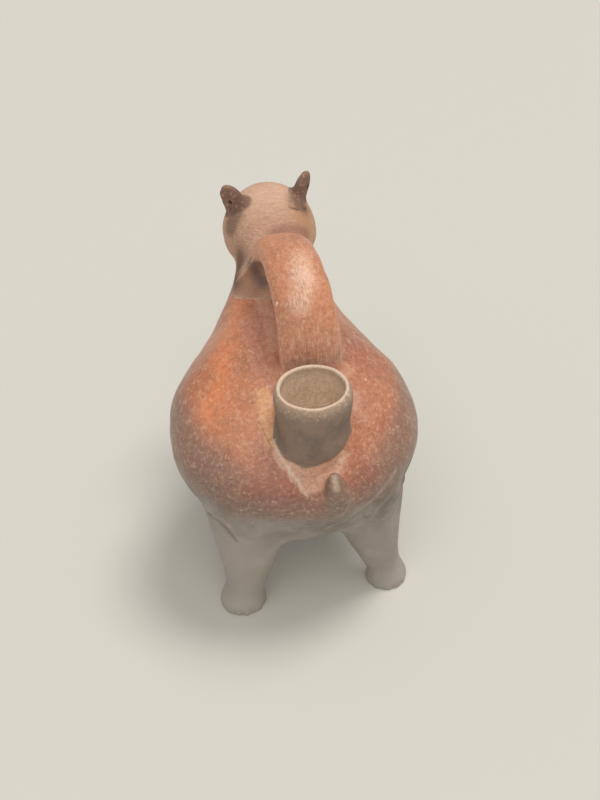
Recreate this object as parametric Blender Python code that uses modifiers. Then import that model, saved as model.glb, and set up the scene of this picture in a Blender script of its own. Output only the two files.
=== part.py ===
"""Animal-shaped pottery vessel.

A stout four-legged beast of fired clay, hollow, with an open mouth, a filling
spout above the tail and a strap handle from the nape to the back.  Metres,
+Z up, the animal faces -Y and its left side is +X.

While it is being modelled, places are given as (forward, aside, height):
forward of the rear feet, to the animal's left, and above the ground.
"""

import math

import bmesh
import bpy
import numpy as np
from mathutils import Matrix, Vector

# Clay wall of the hollow body and head
WALL = 0.005

# Body: an egg whose widest section, the belly, stands ahead of the rear feet
BODY_WIDTH = 0.146
BELLY_FORWARD = 0.032
BELLY_HEIGHT = 0.100
BELLY_UP = 0.045
BELLY_DOWN = 0.0575
BODY_ASIDE = 0.002
RUMP_REACH = 0.069
RUMP_DROP = 0.008
RUMP_SLOPE = 1.75
EGG_SQUEEZE = 0.08

# Neck: carries the body's sections on to the back of the head
NECK_REACH = 0.106
NECK_RISE = 0.086
NECK_ASIDE = -0.008

# Sections from shoulder to nape, as shares of the sizes above:
# reach, rise, half width, upper half, lower half, aside; then the squeeze,
# which widens a section's back where it is positive and its chest where not
NECK_SECTIONS = (
    (0.264, 0.08, 0.960, 1.04, 0.99, 0.00, 0.02),
    (0.490, 0.22, 0.795, 0.98, 1.04, 0.12, -0.14),
    (0.680, 0.41, 0.555, 0.79, 0.91, 0.56, -0.26),
    (0.810, 0.62, 0.392, 0.60, 0.67, 0.88, -0.22),
    (0.905, 0.81, 0.330, 0.49, 0.47, 1.00, -0.10),
    (1.000, 1.00, 0.295, 0.40, 0.34, 1.00, 0.00),
)

# Head: an egg on the end of the neck
HEAD_WIDTH = 0.0594
HEAD_LENGTH = 0.060
HEAD_HEIGHT = 0.056
HEAD_FORWARD = 0.008
HEAD_SINK = 0.007

# Face: snout over a lower jaw, with the pouring mouth between them;
# lifts and drops are measured from the head's middle
SNOUT_WIDTH = 0.034
SNOUT_HEIGHT = 0.023
SNOUT_LENGTH = 0.0364
SNOUT_REACH = 0.014
SNOUT_LIFT = 0.0017
SNOUT_TILT = 14
JAW_WIDTH = 0.027
JAW_HEIGHT = 0.0146
JAW_LENGTH = 0.0288
JAW_REACH = 0.008
JAW_DROP = 0.0168
JAW_TILT = 4
MOUTH_WIDTH = 0.021
MOUTH_HEIGHT = 0.011
MOUTH_DROP = 0.0087
NOSTRIL_RADIUS = 0.0017
NOSTRIL_DEPTH = 0.005
NOSTRIL_ASIDE = 0.0058
NOSTRIL_LIFT = 0.0056
EYE_RADIUS = 0.0032
EYE_SINK = 0.0019
EYE_GAZE = (0.74, 0.52, 0.43)

# Ears, each a pierced lobe: root and tip away from the head's middle, as shares of half
# its length, width and height, and the turn of its broad side
EAR_LEFT_ROOT = (-0.05, 0.46, 0.12)
EAR_LEFT_TIP = (-0.20, 0.88, 1.26)
EAR_LEFT_TURN = -38
EAR_RIGHT_ROOT = (0.04, -0.59, 0.36)
EAR_RIGHT_TIP = (-0.13, -0.87, 1.3214)
EAR_RIGHT_TURN = 56
EAR_LEFT_WIDTH = 0.0200
EAR_RIGHT_WIDTH = 0.0176
EAR_THICKNESS = 0.0082
EAR_FULLNESS = 0.18
EAR_BLUNTNESS = 0.75
EAR_HOLE_RADIUS = 0.0016
EAR_HOLE_SHARE = 0.66

# Handle: a broad strap, lens-shaped in section, from the back to the nape
HANDLE_WIDTH = 0.0345
HANDLE_THICKNESS = 0.016
HANDLE_FLATNESS = 0.85
HANDLE_RISE = 0.0378
HANDLE_SINK = 0.012
HANDLE_BEHIND_BELLY = 0.0062
HANDLE_BEHIND_HEAD = 0.037
HANDLE_FOOT_ASIDE = -0.0095
HANDLE_NAPE_ASIDE = -0.002

# Handle's arch: share of its span, share of its rise, share of its width
HANDLE_ARCH = (
    (0.000, 0.35, 1.04),
    (0.045, 0.68, 1.00),
    (0.165, 0.92, 1.00),
    (0.350, 1.00, 0.98),
    (0.560, 0.93, 0.96),
    (0.775, 0.72, 0.98),
    (0.930, 0.45, 0.98),
)
HANDLE_FOOT_SPREAD = 1.10
HANDLE_NAPE_SPREAD = 0.95

# Spout: a short tube on the back above the tail, leaning to the rear
SPOUT_DIAMETER = 0.0430
SPOUT_TAPER = 0.0052
SPOUT_RISE = 0.0305
SPOUT_ROOT = 0.030
SPOUT_TILT = 5.5
SPOUT_WALL = 0.0042
SPOUT_BEHIND_BELLY = 0.0412
SPOUT_ASIDE = -0.0036
LIP_ROUND = 0.0012

# Tail: a short upturned cone, its root below the belly's middle
TAIL_RADIUS = 0.0092
TAIL_TIP_RADIUS = 0.0018
TAIL_RISE = 0.0295
TAIL_LEAN = 0.0093
TAIL_DROP = 0.014
TAIL_ASIDE = -0.010

# Legs: the feet's places, the hips' places inside the body, and radii
STANCE_LENGTH = 0.092
REAR_LEFT_ASIDE = 0.0452
REAR_RIGHT_ASIDE = -0.045
FRONT_LEFT_ASIDE = 0.040
FRONT_RIGHT_ASIDE = -0.038
REAR_HIP_ASIDE = 0.0335
REAR_HIP_FORWARD = 0.012
FRONT_HIP_ASIDE = 0.026
FRONT_HIP_FORWARD = -0.010
HIP_DROP = 0.016
FOOT_RADIUS_LEFT = 0.0141
FOOT_RADIUS_RIGHT = 0.0128
FOOT_HEIGHT = 0.005
ANKLE_SHARE = 0.90
ANKLE_HEIGHT = 0.013
REAR_THIGH_RADIUS = 0.0292
FRONT_THIGH_RADIUS = 0.0235

# Fineness of the meshes
SKIN_STEPS = 3
SKIN_SIDES = 36
HOLLOW_STEPS = 2
HOLLOW_SIDES = 24
RUMP_SECTIONS = 6
LEG_SECTIONS = 7
TAIL_SECTIONS = 6
HANDLE_STEPS = 3
HANDLE_SIDES = 18

CLAY_COLOUR = (0.42, 0.135, 0.062, 1.0)
CLAY_ROUGHNESS = 0.55


def place(forward, aside, height):
    """World vector for a place given from the rear feet."""
    return Vector((aside, -forward, height))


def clear_scene():
    for thing in list(bpy.data.objects):
        bpy.data.objects.remove(thing, do_unlink=True)


def new_collection(name):
    collection = bpy.data.collections.new(name)
    bpy.context.scene.collection.children.link(collection)
    return collection


def clay_material():
    clay = bpy.data.materials.new("fired_clay")
    clay.use_nodes = True
    shader = clay.node_tree.nodes["Principled BSDF"]
    shader.inputs["Base Color"].default_value = CLAY_COLOUR
    shader.inputs["Roughness"].default_value = CLAY_ROUGHNESS
    shader.inputs["Metallic"].default_value = 0.0
    return clay


def guide_object(name, mesh, collection):
    """Object that only shapes the vessel: shown as wires and left out of renders."""
    thing = bpy.data.objects.new(name, mesh)
    collection.objects.link(thing)
    thing.hide_render = True
    thing.display_type = "WIRE"
    return thing


def finish_bmesh(name, shape, collection, matrix=None):
    """Object from a closed bmesh, moved by a matrix, its faces turned outward."""
    if matrix is not None:
        bmesh.ops.transform(shape, matrix=matrix, verts=shape.verts)
    bmesh.ops.recalc_face_normals(shape, faces=shape.faces)
    mesh = bpy.data.meshes.new(name)
    shape.to_mesh(mesh)
    shape.free()
    return guide_object(name, mesh, collection)


def row_at(ends, value):
    """One row of a Catmull-Rom curve; ends holds a spare row before and after."""
    first = min(int(value), len(ends) - 4)
    u = value - first
    a, b, c, d = ends[first:first + 4]
    bend = (2 * a - 5 * b + 4 * c - d) * u ** 2 + (3 * b - 3 * c + d - a) * u ** 3
    return 0.5 * (2 * b + (c - a) * u + bend)


def smooth_rows(rows, steps):
    """Rows of numbers filled in by a Catmull-Rom curve, steps to each gap."""
    rows = np.array(rows, dtype=float)
    ends = np.vstack([2 * rows[0] - rows[1], rows, 2 * rows[-1] - rows[-2]])
    along = np.linspace(0, len(rows) - 1, (len(rows) - 1) * steps + 1)
    return np.array([row_at(ends, value) for value in along])


def loft(name, rings, collection):
    """Closed mesh over rings of equal count, each end closed by a fan."""
    shape = bmesh.new()
    grid = [[shape.verts.new(point) for point in ring] for ring in rings]
    for lower, upper in zip(grid, grid[1:]):
        for k in range(len(lower)):
            after = (k + 1) % len(lower)
            shape.faces.new((lower[k], lower[after], upper[after], upper[k]))
    for ring in (grid[0], grid[-1]):
        middle = shape.verts.new(sum((v.co for v in ring), Vector()) / len(ring))
        for k in range(len(ring)):
            shape.faces.new((ring[k], ring[(k + 1) % len(ring)], middle))
    return finish_bmesh(name, shape, collection)


def body_rows(inset):
    """Key sections: forward, height, aside, half width, upper and lower half, squeeze."""
    rows = []
    reach = RUMP_REACH - inset
    for angle in np.radians(np.linspace(4, 90, RUMP_SECTIONS, endpoint=False)):
        swell = math.sin(angle)
        rows.append((
            BELLY_FORWARD - reach * math.cos(angle),
            BELLY_HEIGHT - RUMP_DROP * math.cos(angle),
            BODY_ASIDE,
            (BODY_WIDTH / 2 - inset) * swell,
            (BELLY_UP - inset) * swell ** RUMP_SLOPE,
            (BELLY_DOWN - inset) * swell,
            EGG_SQUEEZE,
        ))
    belly = (0.0, 0.0, 1.0, 1.0, 1.0, 0.0, EGG_SQUEEZE)
    for along, rise, wide, upper, lower, aside, squeeze in (belly,) + NECK_SECTIONS:
        rows.append((
            BELLY_FORWARD + NECK_REACH * along,
            BELLY_HEIGHT + NECK_RISE * rise,
            BODY_ASIDE + NECK_ASIDE * aside,
            BODY_WIDTH / 2 * wide - inset,
            BELLY_UP * upper - inset,
            BELLY_DOWN * lower - inset,
            squeeze,
        ))
    return rows


def section_frames(rows):
    """Middle of each section, and the unit vector that points to its back."""
    middles = np.stack([rows[:, 2], -rows[:, 0], rows[:, 1]], axis=1)
    run = np.gradient(middles, axis=0)
    length = np.hypot(run[:, 1], run[:, 2])
    upward = np.stack([0 * length, run[:, 2] / length, -run[:, 1] / length], axis=1)
    return middles, upward


def body_rings(inset, steps, sides):
    """Rings of the body and neck, drawn in from the skin by the inset."""
    rows = smooth_rows(body_rows(inset), steps)
    middles, upward = section_frames(rows)
    rings = []
    for row, middle, up in zip(rows, middles, upward):
        turn = np.linspace(0, 2 * math.pi, sides, endpoint=False)
        across = row[3] * np.cos(turn) * (1 + row[6] * np.sin(turn))
        rise = np.where(np.sin(turn) > 0, row[4], row[5]) * np.sin(turn)
        ring = middle + np.outer(across, (1, 0, 0)) + np.outer(rise, up)
        rings.append([Vector(point) for point in ring])
    return rings


def back_point(forward):
    """Point on the crest of the back above a place, and its outward normal."""
    rows = smooth_rows(body_rows(0), 20)
    middles, upward = section_frames(rows)
    crest = middles + rows[:, 4:5] * upward
    after = int(np.argmax(-crest[:, 1] >= forward))
    before = Vector(crest[after - 1])
    run = Vector(crest[after]) - before
    point = before + run * ((-forward - before.y) / run.y)
    return point, Vector((0, run.z, -run.y)).normalized()


def ball(name, middle, size, collection, tilt=0, rounds=(24, 14)):
    """Ellipsoid of a full size, tilted nose-up by degrees."""
    shape = bmesh.new()
    bmesh.ops.create_uvsphere(shape, u_segments=rounds[0], v_segments=rounds[1], radius=0.5)
    matrix = (
        Matrix.Translation(middle)
        @ Matrix.Rotation(math.radians(-tilt), 4, "X")
        @ Matrix.Diagonal((*size, 1))
    )
    return finish_bmesh(name, shape, collection, matrix)


def peg(name, start, end, radius, collection, sides=10, stretch=1.0):
    """Round or oval rod between two points; stretch widens it sideways."""
    shape = bmesh.new()
    axis = end - start
    bmesh.ops.create_cone(
        shape, cap_ends=True, segments=sides, radius1=radius, radius2=radius, depth=axis.length
    )
    matrix = (
        Matrix.Translation((start + end) / 2)
        @ axis.to_track_quat("Z", "Y").to_matrix().to_4x4()
        @ Matrix.Diagonal((stretch, 1, 1, 1))
        @ Matrix.Rotation(math.pi / sides, 4, "Z")
    )
    return finish_bmesh(name, shape, collection, matrix)


def curve_solid(name, points, radii, collection, sides):
    """Solid limb: a curve with a radius at each point and filled ends."""
    curve = bpy.data.curves.new(name, "CURVE")
    curve.dimensions = "3D"
    curve.bevel_depth = 1.0
    curve.bevel_resolution = sides // 2 - 2
    curve.use_fill_caps = True
    spline = curve.splines.new("POLY")
    spline.points.add(len(points) - 1)
    for knot, point, radius in zip(spline.points, points, radii):
        knot.co = (*point, 1)
        knot.radius = radius
    limb = bpy.data.objects.new(name + "_curve", curve)
    collection.objects.link(limb)
    bpy.context.view_layer.update()
    graph = bpy.context.evaluated_depsgraph_get()
    mesh = bpy.data.meshes.new_from_object(limb.evaluated_get(graph))
    shape = bmesh.new()
    shape.from_mesh(mesh)
    bmesh.ops.remove_doubles(shape, verts=shape.verts, dist=0.00001)
    matrix = limb.matrix_world.copy()
    bpy.data.objects.remove(limb, do_unlink=True)
    return finish_bmesh(name, shape, collection, matrix)


def turned(name, profile, matrix, collection, segments=36):
    """Solid of revolution: a profile of (radius, height) with a Screw modifier."""
    mesh = bpy.data.meshes.new(name)
    points = [(radius, 0, height) for radius, height in profile]
    edges = [(k, k + 1) for k in range(len(points) - 1)]
    mesh.from_pydata(points, edges, [])
    thing = guide_object(name, mesh, collection)
    screw = thing.modifiers.new("turn", "SCREW")
    screw.steps = segments
    screw.render_steps = segments
    screw.use_merge_vertices = True
    screw.merge_threshold = 0.00001
    thing.matrix_world = matrix
    return thing


def combine(target, other, operation):
    """Exact Boolean on the target, left live."""
    step = target.modifiers.new(operation.lower() + "_" + other.name, "BOOLEAN")
    step.operation = operation
    step.solver = "EXACT"
    step.object = other


def leg(name, foot, hip, foot_radius, thigh_radius, collection):
    """Leg from a flat sole through a pinched ankle to a thigh in the body."""
    ankle = foot_radius * ANKLE_SHARE
    points = [foot, foot + place(0, 0, FOOT_HEIGHT), foot + place(0, 0, ANKLE_HEIGHT)]
    radii = [foot_radius, foot_radius, ankle]
    for share in np.linspace(0, 1, LEG_SECTIONS + 1)[1:]:
        # The leg leaves the ankle almost upright, then leans to the hip
        points.append(Vector((
            foot.x + (hip.x - foot.x) * share ** 0.8,
            foot.y + (hip.y - foot.y) * share ** 2,
            ANKLE_HEIGHT + (hip.z - ANKLE_HEIGHT) * share,
        )))
        radii.append(ankle + (thigh_radius - ankle) * share ** 1.3)
    return curve_solid(name, points, radii, collection, 18)


def legs(collection):
    result = []
    rear = (0, REAR_HIP_FORWARD, REAR_HIP_ASIDE, REAR_THIGH_RADIUS)
    front = (STANCE_LENGTH, FRONT_HIP_FORWARD, FRONT_HIP_ASIDE, FRONT_THIGH_RADIUS)
    for name, aside, foot_radius, pair in (
        ("leg_rear_left", REAR_LEFT_ASIDE, FOOT_RADIUS_LEFT, rear),
        ("leg_rear_right", REAR_RIGHT_ASIDE, FOOT_RADIUS_RIGHT, rear),
        ("leg_front_left", FRONT_LEFT_ASIDE, FOOT_RADIUS_LEFT, front),
        ("leg_front_right", FRONT_RIGHT_ASIDE, FOOT_RADIUS_RIGHT, front),
    ):
        forward, hip_forward, hip_aside, thigh_radius = pair
        hip = place(
            forward + hip_forward,
            BODY_ASIDE + math.copysign(hip_aside, aside),
            BELLY_HEIGHT - HIP_DROP,
        )
        foot = place(forward, aside, 0)
        result.append(leg(name, foot, hip, foot_radius, thigh_radius, collection))
    return result


def head_middle():
    return place(
        BELLY_FORWARD + NECK_REACH + HEAD_FORWARD,
        BODY_ASIDE + NECK_ASIDE,
        BELLY_HEIGHT + NECK_RISE - HEAD_SINK,
    )


def face(middle, collection):
    """Snout, jaw and eyes, and the cutters for mouth and nostrils."""
    front = middle + place(HEAD_LENGTH / 2, 0, 0)
    snout = ball(
        "snout", front + place(SNOUT_REACH - SNOUT_LENGTH / 2, 0, SNOUT_LIFT),
        (SNOUT_WIDTH, SNOUT_LENGTH, SNOUT_HEIGHT), collection, tilt=SNOUT_TILT, rounds=(22, 12),
    )
    jaw = ball(
        "jaw", front + place(JAW_REACH - JAW_LENGTH / 2, 0, -JAW_DROP),
        (JAW_WIDTH, JAW_LENGTH, JAW_HEIGHT), collection, tilt=JAW_TILT, rounds=(18, 10),
    )
    mouth = peg(
        "mouth", middle + place(0, 0, -MOUTH_DROP),
        front + place(SNOUT_REACH * 2, 0, -MOUTH_DROP), MOUTH_HEIGHT / 2, collection,
        sides=20, stretch=MOUTH_WIDTH / MOUTH_HEIGHT,
    )
    solids, holes = [snout, jaw], [mouth]
    for side in (-1, 1):
        gaze = place(EYE_GAZE[0], side * EYE_GAZE[1], EYE_GAZE[2])
        eye = middle + gaze * Vector((HEAD_WIDTH, HEAD_LENGTH, HEAD_HEIGHT)) / 2
        eye -= gaze * EYE_SINK
        solids.append(ball("eye", eye, (EYE_RADIUS * 2,) * 3, collection, rounds=(10, 6)))
        tip = front + place(SNOUT_REACH, side * NOSTRIL_ASIDE, NOSTRIL_LIFT)
        bore = place(NOSTRIL_DEPTH, 0, 0)
        holes.append(peg("nostril", tip + bore, tip - bore, NOSTRIL_RADIUS, collection))
    return solids, holes


def ear(name, root, tip, width, turn, collection):
    """Lobe on an axis from root to tip, fuller at its root, and its piercing."""
    axis = tip - root
    shape = bmesh.new()
    bmesh.ops.create_uvsphere(shape, u_segments=14, v_segments=10, radius=1.0)
    for vert in shape.verts:
        vert.co.x *= 1 - EAR_FULLNESS * vert.co.z
        vert.co.z = math.copysign(abs(vert.co.z) ** EAR_BLUNTNESS, vert.co.z)
    up = axis.normalized()
    broad = Matrix.Rotation(math.radians(turn), 3, "Z") @ Vector((1, 0, 0))
    broad = (broad - up * broad.dot(up)).normalized()
    thin = up.cross(broad)
    matrix = (
        Matrix.Translation((root + tip) / 2)
        @ Matrix((broad, thin, up)).transposed().to_4x4()
        @ Matrix.Diagonal((width / 2, EAR_THICKNESS / 2, axis.length / 2, 1))
    )
    lobe = finish_bmesh(name, shape, collection, matrix)
    spot = root + axis * EAR_HOLE_SHARE
    reach = thin * EAR_THICKNESS
    hole = peg(name + "_hole", spot - reach, spot + reach, EAR_HOLE_RADIUS, collection)
    return lobe, hole


def ears(middle, collection):
    half = Vector((HEAD_LENGTH, HEAD_WIDTH, HEAD_HEIGHT)) / 2
    lobes, holes = [], []
    for name, root, tip, width, turn in (
        ("ear_left", EAR_LEFT_ROOT, EAR_LEFT_TIP, EAR_LEFT_WIDTH, EAR_LEFT_TURN),
        ("ear_right", EAR_RIGHT_ROOT, EAR_RIGHT_TIP, EAR_RIGHT_WIDTH, EAR_RIGHT_TURN),
    ):
        start, end = (middle + place(*(Vector(share) * half)) for share in (root, tip))
        lobe, hole = ear(name, start, end, width, turn, collection)
        lobes.append(lobe)
        holes.append(hole)
    return lobes, holes


def handle_path():
    """Rows of y, height, aside and width share along the arch, with its sunk ends."""
    foot, _ = back_point(BELLY_FORWARD - HANDLE_BEHIND_BELLY)
    nape, nape_up = back_point(BELLY_FORWARD + NECK_REACH - HANDLE_BEHIND_HEAD)
    rows = [(foot.y, foot.z - HANDLE_SINK, HANDLE_FOOT_ASIDE, HANDLE_FOOT_SPREAD)]
    for share, rise, wide in HANDLE_ARCH:
        rows.append((
            foot.y + (nape.y - foot.y) * share,
            foot.z + (nape.z - foot.z) * share + HANDLE_RISE * rise,
            HANDLE_FOOT_ASIDE + (HANDLE_NAPE_ASIDE - HANDLE_FOOT_ASIDE) * share,
            wide,
        ))
    sunk = nape - nape_up * HANDLE_SINK * 0.6
    rows.append((sunk.y - HANDLE_SINK * 0.3, sunk.z, HANDLE_NAPE_ASIDE, HANDLE_NAPE_SPREAD))
    return smooth_rows(rows, HANDLE_STEPS)


def handle(collection):
    """Strap along a lopsided arch, its ends sunk in the back and the nape."""
    rows = handle_path()
    path = np.stack([rows[:, 2], rows[:, 0], rows[:, 1]], axis=1)
    run = np.gradient(path, axis=0)
    run /= np.linalg.norm(run, axis=1)[:, None]
    across = np.array((1.0, 0, 0)) - run[:, :1] * run
    across /= np.linalg.norm(across, axis=1)[:, None]
    outward = np.cross(run, across)
    turn = np.linspace(0, 2 * math.pi, HANDLE_SIDES, endpoint=False)
    lens = np.sign(np.cos(turn)) * np.abs(np.cos(turn)) ** HANDLE_FLATNESS
    rings = []
    for middle, side, out, row in zip(path, across, outward, rows):
        wide = HANDLE_WIDTH / 2 * row[3] * lens
        thick = HANDLE_THICKNESS / 2 * np.sin(turn)
        ring = middle + np.outer(wide, side) + np.outer(thick, out)
        rings.append([Vector(point) for point in ring])
    return loft("handle", rings, collection)


def spout(collection):
    """Tube on the back above the tail, and the bore that opens it downward."""
    base, _ = back_point(BELLY_FORWARD - SPOUT_BEHIND_BELLY)
    base.x = SPOUT_ASIDE
    matrix = Matrix.Translation(base) @ Matrix.Rotation(math.radians(-SPOUT_TILT), 4, "X")
    # The bore's facets are turned half a step, so that no edge meets one of the skin's
    bore_matrix = matrix @ Matrix.Rotation(math.radians(5), 4, "Z")
    outer = SPOUT_DIAMETER / 2
    inner = outer - SPOUT_WALL
    skin = turned("spout", (
        (0, SPOUT_RISE),
        (outer - LIP_ROUND, SPOUT_RISE),
        (outer, SPOUT_RISE - LIP_ROUND),
        (outer - SPOUT_TAPER, -SPOUT_ROOT),
        (0, -SPOUT_ROOT),
    ), matrix, collection)
    bore = turned("spout_bore", (
        (0, SPOUT_RISE * 1.5),
        (inner + LIP_ROUND, SPOUT_RISE * 1.5),
        (inner + LIP_ROUND, SPOUT_RISE - LIP_ROUND * 0.2),
        (inner, SPOUT_RISE - LIP_ROUND * 1.4),
        (inner - SPOUT_TAPER, -SPOUT_ROOT * 1.25),
        (0, -SPOUT_ROOT * 1.25),
    ), bore_matrix, collection)
    return skin, bore


def tail(collection):
    """Cone that leaves the rump and turns up."""
    root = place(
        BELLY_FORWARD - RUMP_REACH + TAIL_RADIUS * 1.1, TAIL_ASIDE, BELLY_HEIGHT - TAIL_DROP
    )
    points, radii = [], []
    for share in np.linspace(0, 1, TAIL_SECTIONS + 1):
        lean = TAIL_LEAN * (5 * share - 2 * share ** 2) / 3
        points.append(root + place(-lean, 0, TAIL_RISE * share))
        radii.append(TAIL_RADIUS + (TAIL_TIP_RADIUS - TAIL_RADIUS) * share ** 2.4)
    return curve_solid("tail", points, radii, collection, 14)


def stand_on_origin(vessel):
    """Parent everything to an empty that puts the floor and the box's middle at zero."""
    bpy.context.view_layer.update()
    graph = bpy.context.evaluated_depsgraph_get()
    mesh = vessel.evaluated_get(graph).to_mesh()
    corners = np.empty(len(mesh.vertices) * 3)
    mesh.vertices.foreach_get("co", corners)
    corners = corners.reshape(-1, 3)
    low, high = corners.min(axis=0), corners.max(axis=0)
    stand = bpy.data.objects.new("stand", None)
    bpy.context.scene.collection.objects.link(stand)
    for thing in list(bpy.data.objects):
        if thing is not stand:
            thing.parent = stand
    stand.location = (-(low[0] + high[0]) / 2, -(low[1] + high[1]) / 2, -low[2])


def main():
    clear_scene()
    shown = new_collection("animal_shaped_vessel")
    cutters = new_collection("cutters")
    vessel = loft("vessel", body_rings(0, SKIN_STEPS, SKIN_SIDES), shown)
    vessel.hide_render = False
    vessel.display_type = "TEXTURED"
    middle = head_middle()
    head_size = (HEAD_WIDTH, HEAD_LENGTH, HEAD_HEIGHT)
    hollow_size = tuple(size - 2 * WALL for size in head_size)
    lobes, ear_holes = ears(middle, cutters)
    features, face_holes = face(middle, cutters)
    spout_skin, spout_bore = spout(cutters)
    solids = [
        ball("head", middle, head_size, cutters, rounds=(28, 16)),
        handle(cutters),
        spout_skin,
        tail(cutters),
    ]
    for solid in solids + legs(cutters) + lobes + features:
        combine(vessel, solid, "UNION")
    hollows = [
        loft("body_hollow", body_rings(WALL, HOLLOW_STEPS, HOLLOW_SIDES), cutters),
        ball("head_hollow", middle, hollow_size, cutters, rounds=(20, 12)),
        spout_bore,
    ]
    for hollow in hollows + ear_holes + face_holes:
        combine(vessel, hollow, "DIFFERENCE")
    vessel.data.materials.append(clay_material())
    vessel.data.shade_smooth()
    vessel.data.set_sharp_from_angle(angle=math.radians(40))
    stand_on_origin(vessel)


main()
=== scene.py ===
import math

import bmesh
import bpy
import numpy as np
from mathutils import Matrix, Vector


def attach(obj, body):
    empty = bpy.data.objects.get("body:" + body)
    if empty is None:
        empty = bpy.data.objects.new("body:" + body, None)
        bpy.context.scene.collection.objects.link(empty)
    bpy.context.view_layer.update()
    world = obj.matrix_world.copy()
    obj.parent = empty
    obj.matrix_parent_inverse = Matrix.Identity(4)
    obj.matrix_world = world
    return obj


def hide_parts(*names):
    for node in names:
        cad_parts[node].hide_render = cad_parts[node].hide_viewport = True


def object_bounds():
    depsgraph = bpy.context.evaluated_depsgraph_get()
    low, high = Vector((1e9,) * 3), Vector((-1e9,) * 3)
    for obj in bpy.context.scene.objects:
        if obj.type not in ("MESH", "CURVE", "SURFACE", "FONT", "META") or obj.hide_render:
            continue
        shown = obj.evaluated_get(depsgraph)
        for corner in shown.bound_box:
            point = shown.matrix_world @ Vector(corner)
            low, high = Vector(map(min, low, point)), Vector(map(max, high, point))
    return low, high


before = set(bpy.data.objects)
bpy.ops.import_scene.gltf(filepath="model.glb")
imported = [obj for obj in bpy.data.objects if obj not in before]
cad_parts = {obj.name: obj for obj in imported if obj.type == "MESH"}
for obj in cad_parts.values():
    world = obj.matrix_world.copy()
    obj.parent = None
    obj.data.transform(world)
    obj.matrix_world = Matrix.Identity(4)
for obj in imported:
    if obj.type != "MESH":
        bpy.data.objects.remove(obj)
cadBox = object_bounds()

# The forms are worked out in metres as (forward of the rear feet, to the animal's left, height);
# toFrame moves them into the frame, where the animal faces -Y and its left side is +X
frameShift = {"aside": -0.002, "forward": 0.07453}


def toFrame(forward, aside, height):
    # x is aside plus its shift, y is the forward shift less forward, z is height
    forward, aside, height = np.broadcast_arrays(forward, aside, height)
    return np.stack([aside + frameShift["aside"], frameShift["forward"] - forward, height], axis=-1)


def smoothStep(low, high, value):
    # 3t^2 - 2t^3, with t the value's share of the way from low to high
    t = np.clip((value - low) / (high - low), 0, 1)
    return t * t * (3 - 2 * t)


def smoothRows(rows, steps):
    # Catmull-Rom curve through rows of numbers: in each gap, half of
    # 2b + (c-a)u + (2a-5b+4c-d)u^2 + (3b-3c+d-a)u^3, with spare rows mirrored past both ends
    rows = np.asarray(rows, float)
    ends = np.vstack([2 * rows[0] - rows[1], rows, 2 * rows[-1] - rows[-2]])
    along = np.linspace(0, len(rows) - 1, (len(rows) - 1) * steps + 1)
    first = np.minimum(along.astype(int), len(rows) - 2)
    u = (along - first)[:, None]
    a, b, c, d = (ends[first + k] for k in range(4))
    bend = (2 * a - 5 * b + 4 * c - d) * u ** 2 + (3 * b - 3 * c + d - a) * u ** 3
    return 0.5 * (2 * b + (c - a) * u + bend)


def unit(vectors):
    return vectors / np.linalg.norm(vectors, axis=-1, keepdims=True)


def closedForm(rings):
    # Grid of rings closed round, and a fan on the middle point of the first and the last ring
    count, sides = rings.shape[:2]
    k = np.arange(sides)
    after = (k + 1) % sides
    base = (np.arange(count - 1) * sides)[:, None]
    quads = np.stack([base + k, base + after, base + sides + after, base + sides + k], axis=-1)
    last = (count - 1) * sides
    startFan = np.stack([after, k, np.full(sides, count * sides)], axis=-1)
    endFan = np.stack([last + k, last + after, np.full(sides, count * sides + 1)], axis=-1)
    verts = np.concatenate([rings.reshape(-1, 3), rings[:1].mean(1), rings[-1:].mean(1)])
    return verts, quads.reshape(-1, 4).tolist() + startFan.tolist() + endFan.tolist()


def turnRound(sides):
    return np.linspace(0, 2 * math.pi, sides, endpoint=False)


def ringedForm(middles, across, outward, wide, thick):
    # Each ring lies round its middle, wide along the first direction and thick along the second
    rings = middles[:, None] + wide[..., None] * across[:, None] + thick[..., None] * outward[:, None]
    return closedForm(rings)


def joinedForms(forms):
    # One list of vertices and faces from several closed forms
    verts, faces, count = [], [], 0
    for formVerts, formFaces in forms:
        verts.append(formVerts)
        faces += [[index + count for index in face] for face in formFaces]
        count += len(formVerts)
    return np.concatenate(verts), faces


def newObject(name, verts, faces):
    # Mesh object at the origin, its faces turned outward
    mesh = bpy.data.meshes.new(name)
    mesh.from_pydata(verts.tolist(), [], faces)
    shape = bmesh.new()
    shape.from_mesh(mesh)
    bmesh.ops.recalc_face_normals(shape, faces=shape.faces)
    shape.to_mesh(mesh)
    shape.free()
    thing = bpy.data.objects.new(name, mesh)
    bpy.context.scene.collection.objects.link(thing)
    return thing


def applied(thing):
    # Puts the result of the object's modifiers into its mesh
    graph = bpy.context.evaluated_depsgraph_get()
    mesh = bpy.data.meshes.new_from_object(thing.evaluated_get(graph))
    thing.modifiers.clear()
    old = thing.data
    thing.data = mesh
    bpy.data.meshes.remove(old)
    return thing


def voxelSkin(thing, voxel):
    skin = thing.modifiers.new("oneSkin", "REMESH")
    skin.mode = "VOXEL"
    skin.voxel_size = voxel
    skin.use_smooth_shade = True
    return applied(thing)


def cutAway(thing, cutters):
    for cutter in cutters:
        cut = thing.modifiers.new("cut", "BOOLEAN")
        cut.operation = "DIFFERENCE"
        cut.solver = "MANIFOLD"
        cut.object = cutter
    bpy.context.view_layer.update()
    applied(thing)
    for cutter in cutters:
        bpy.data.objects.remove(cutter, do_unlink=True)
    return thing


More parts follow.
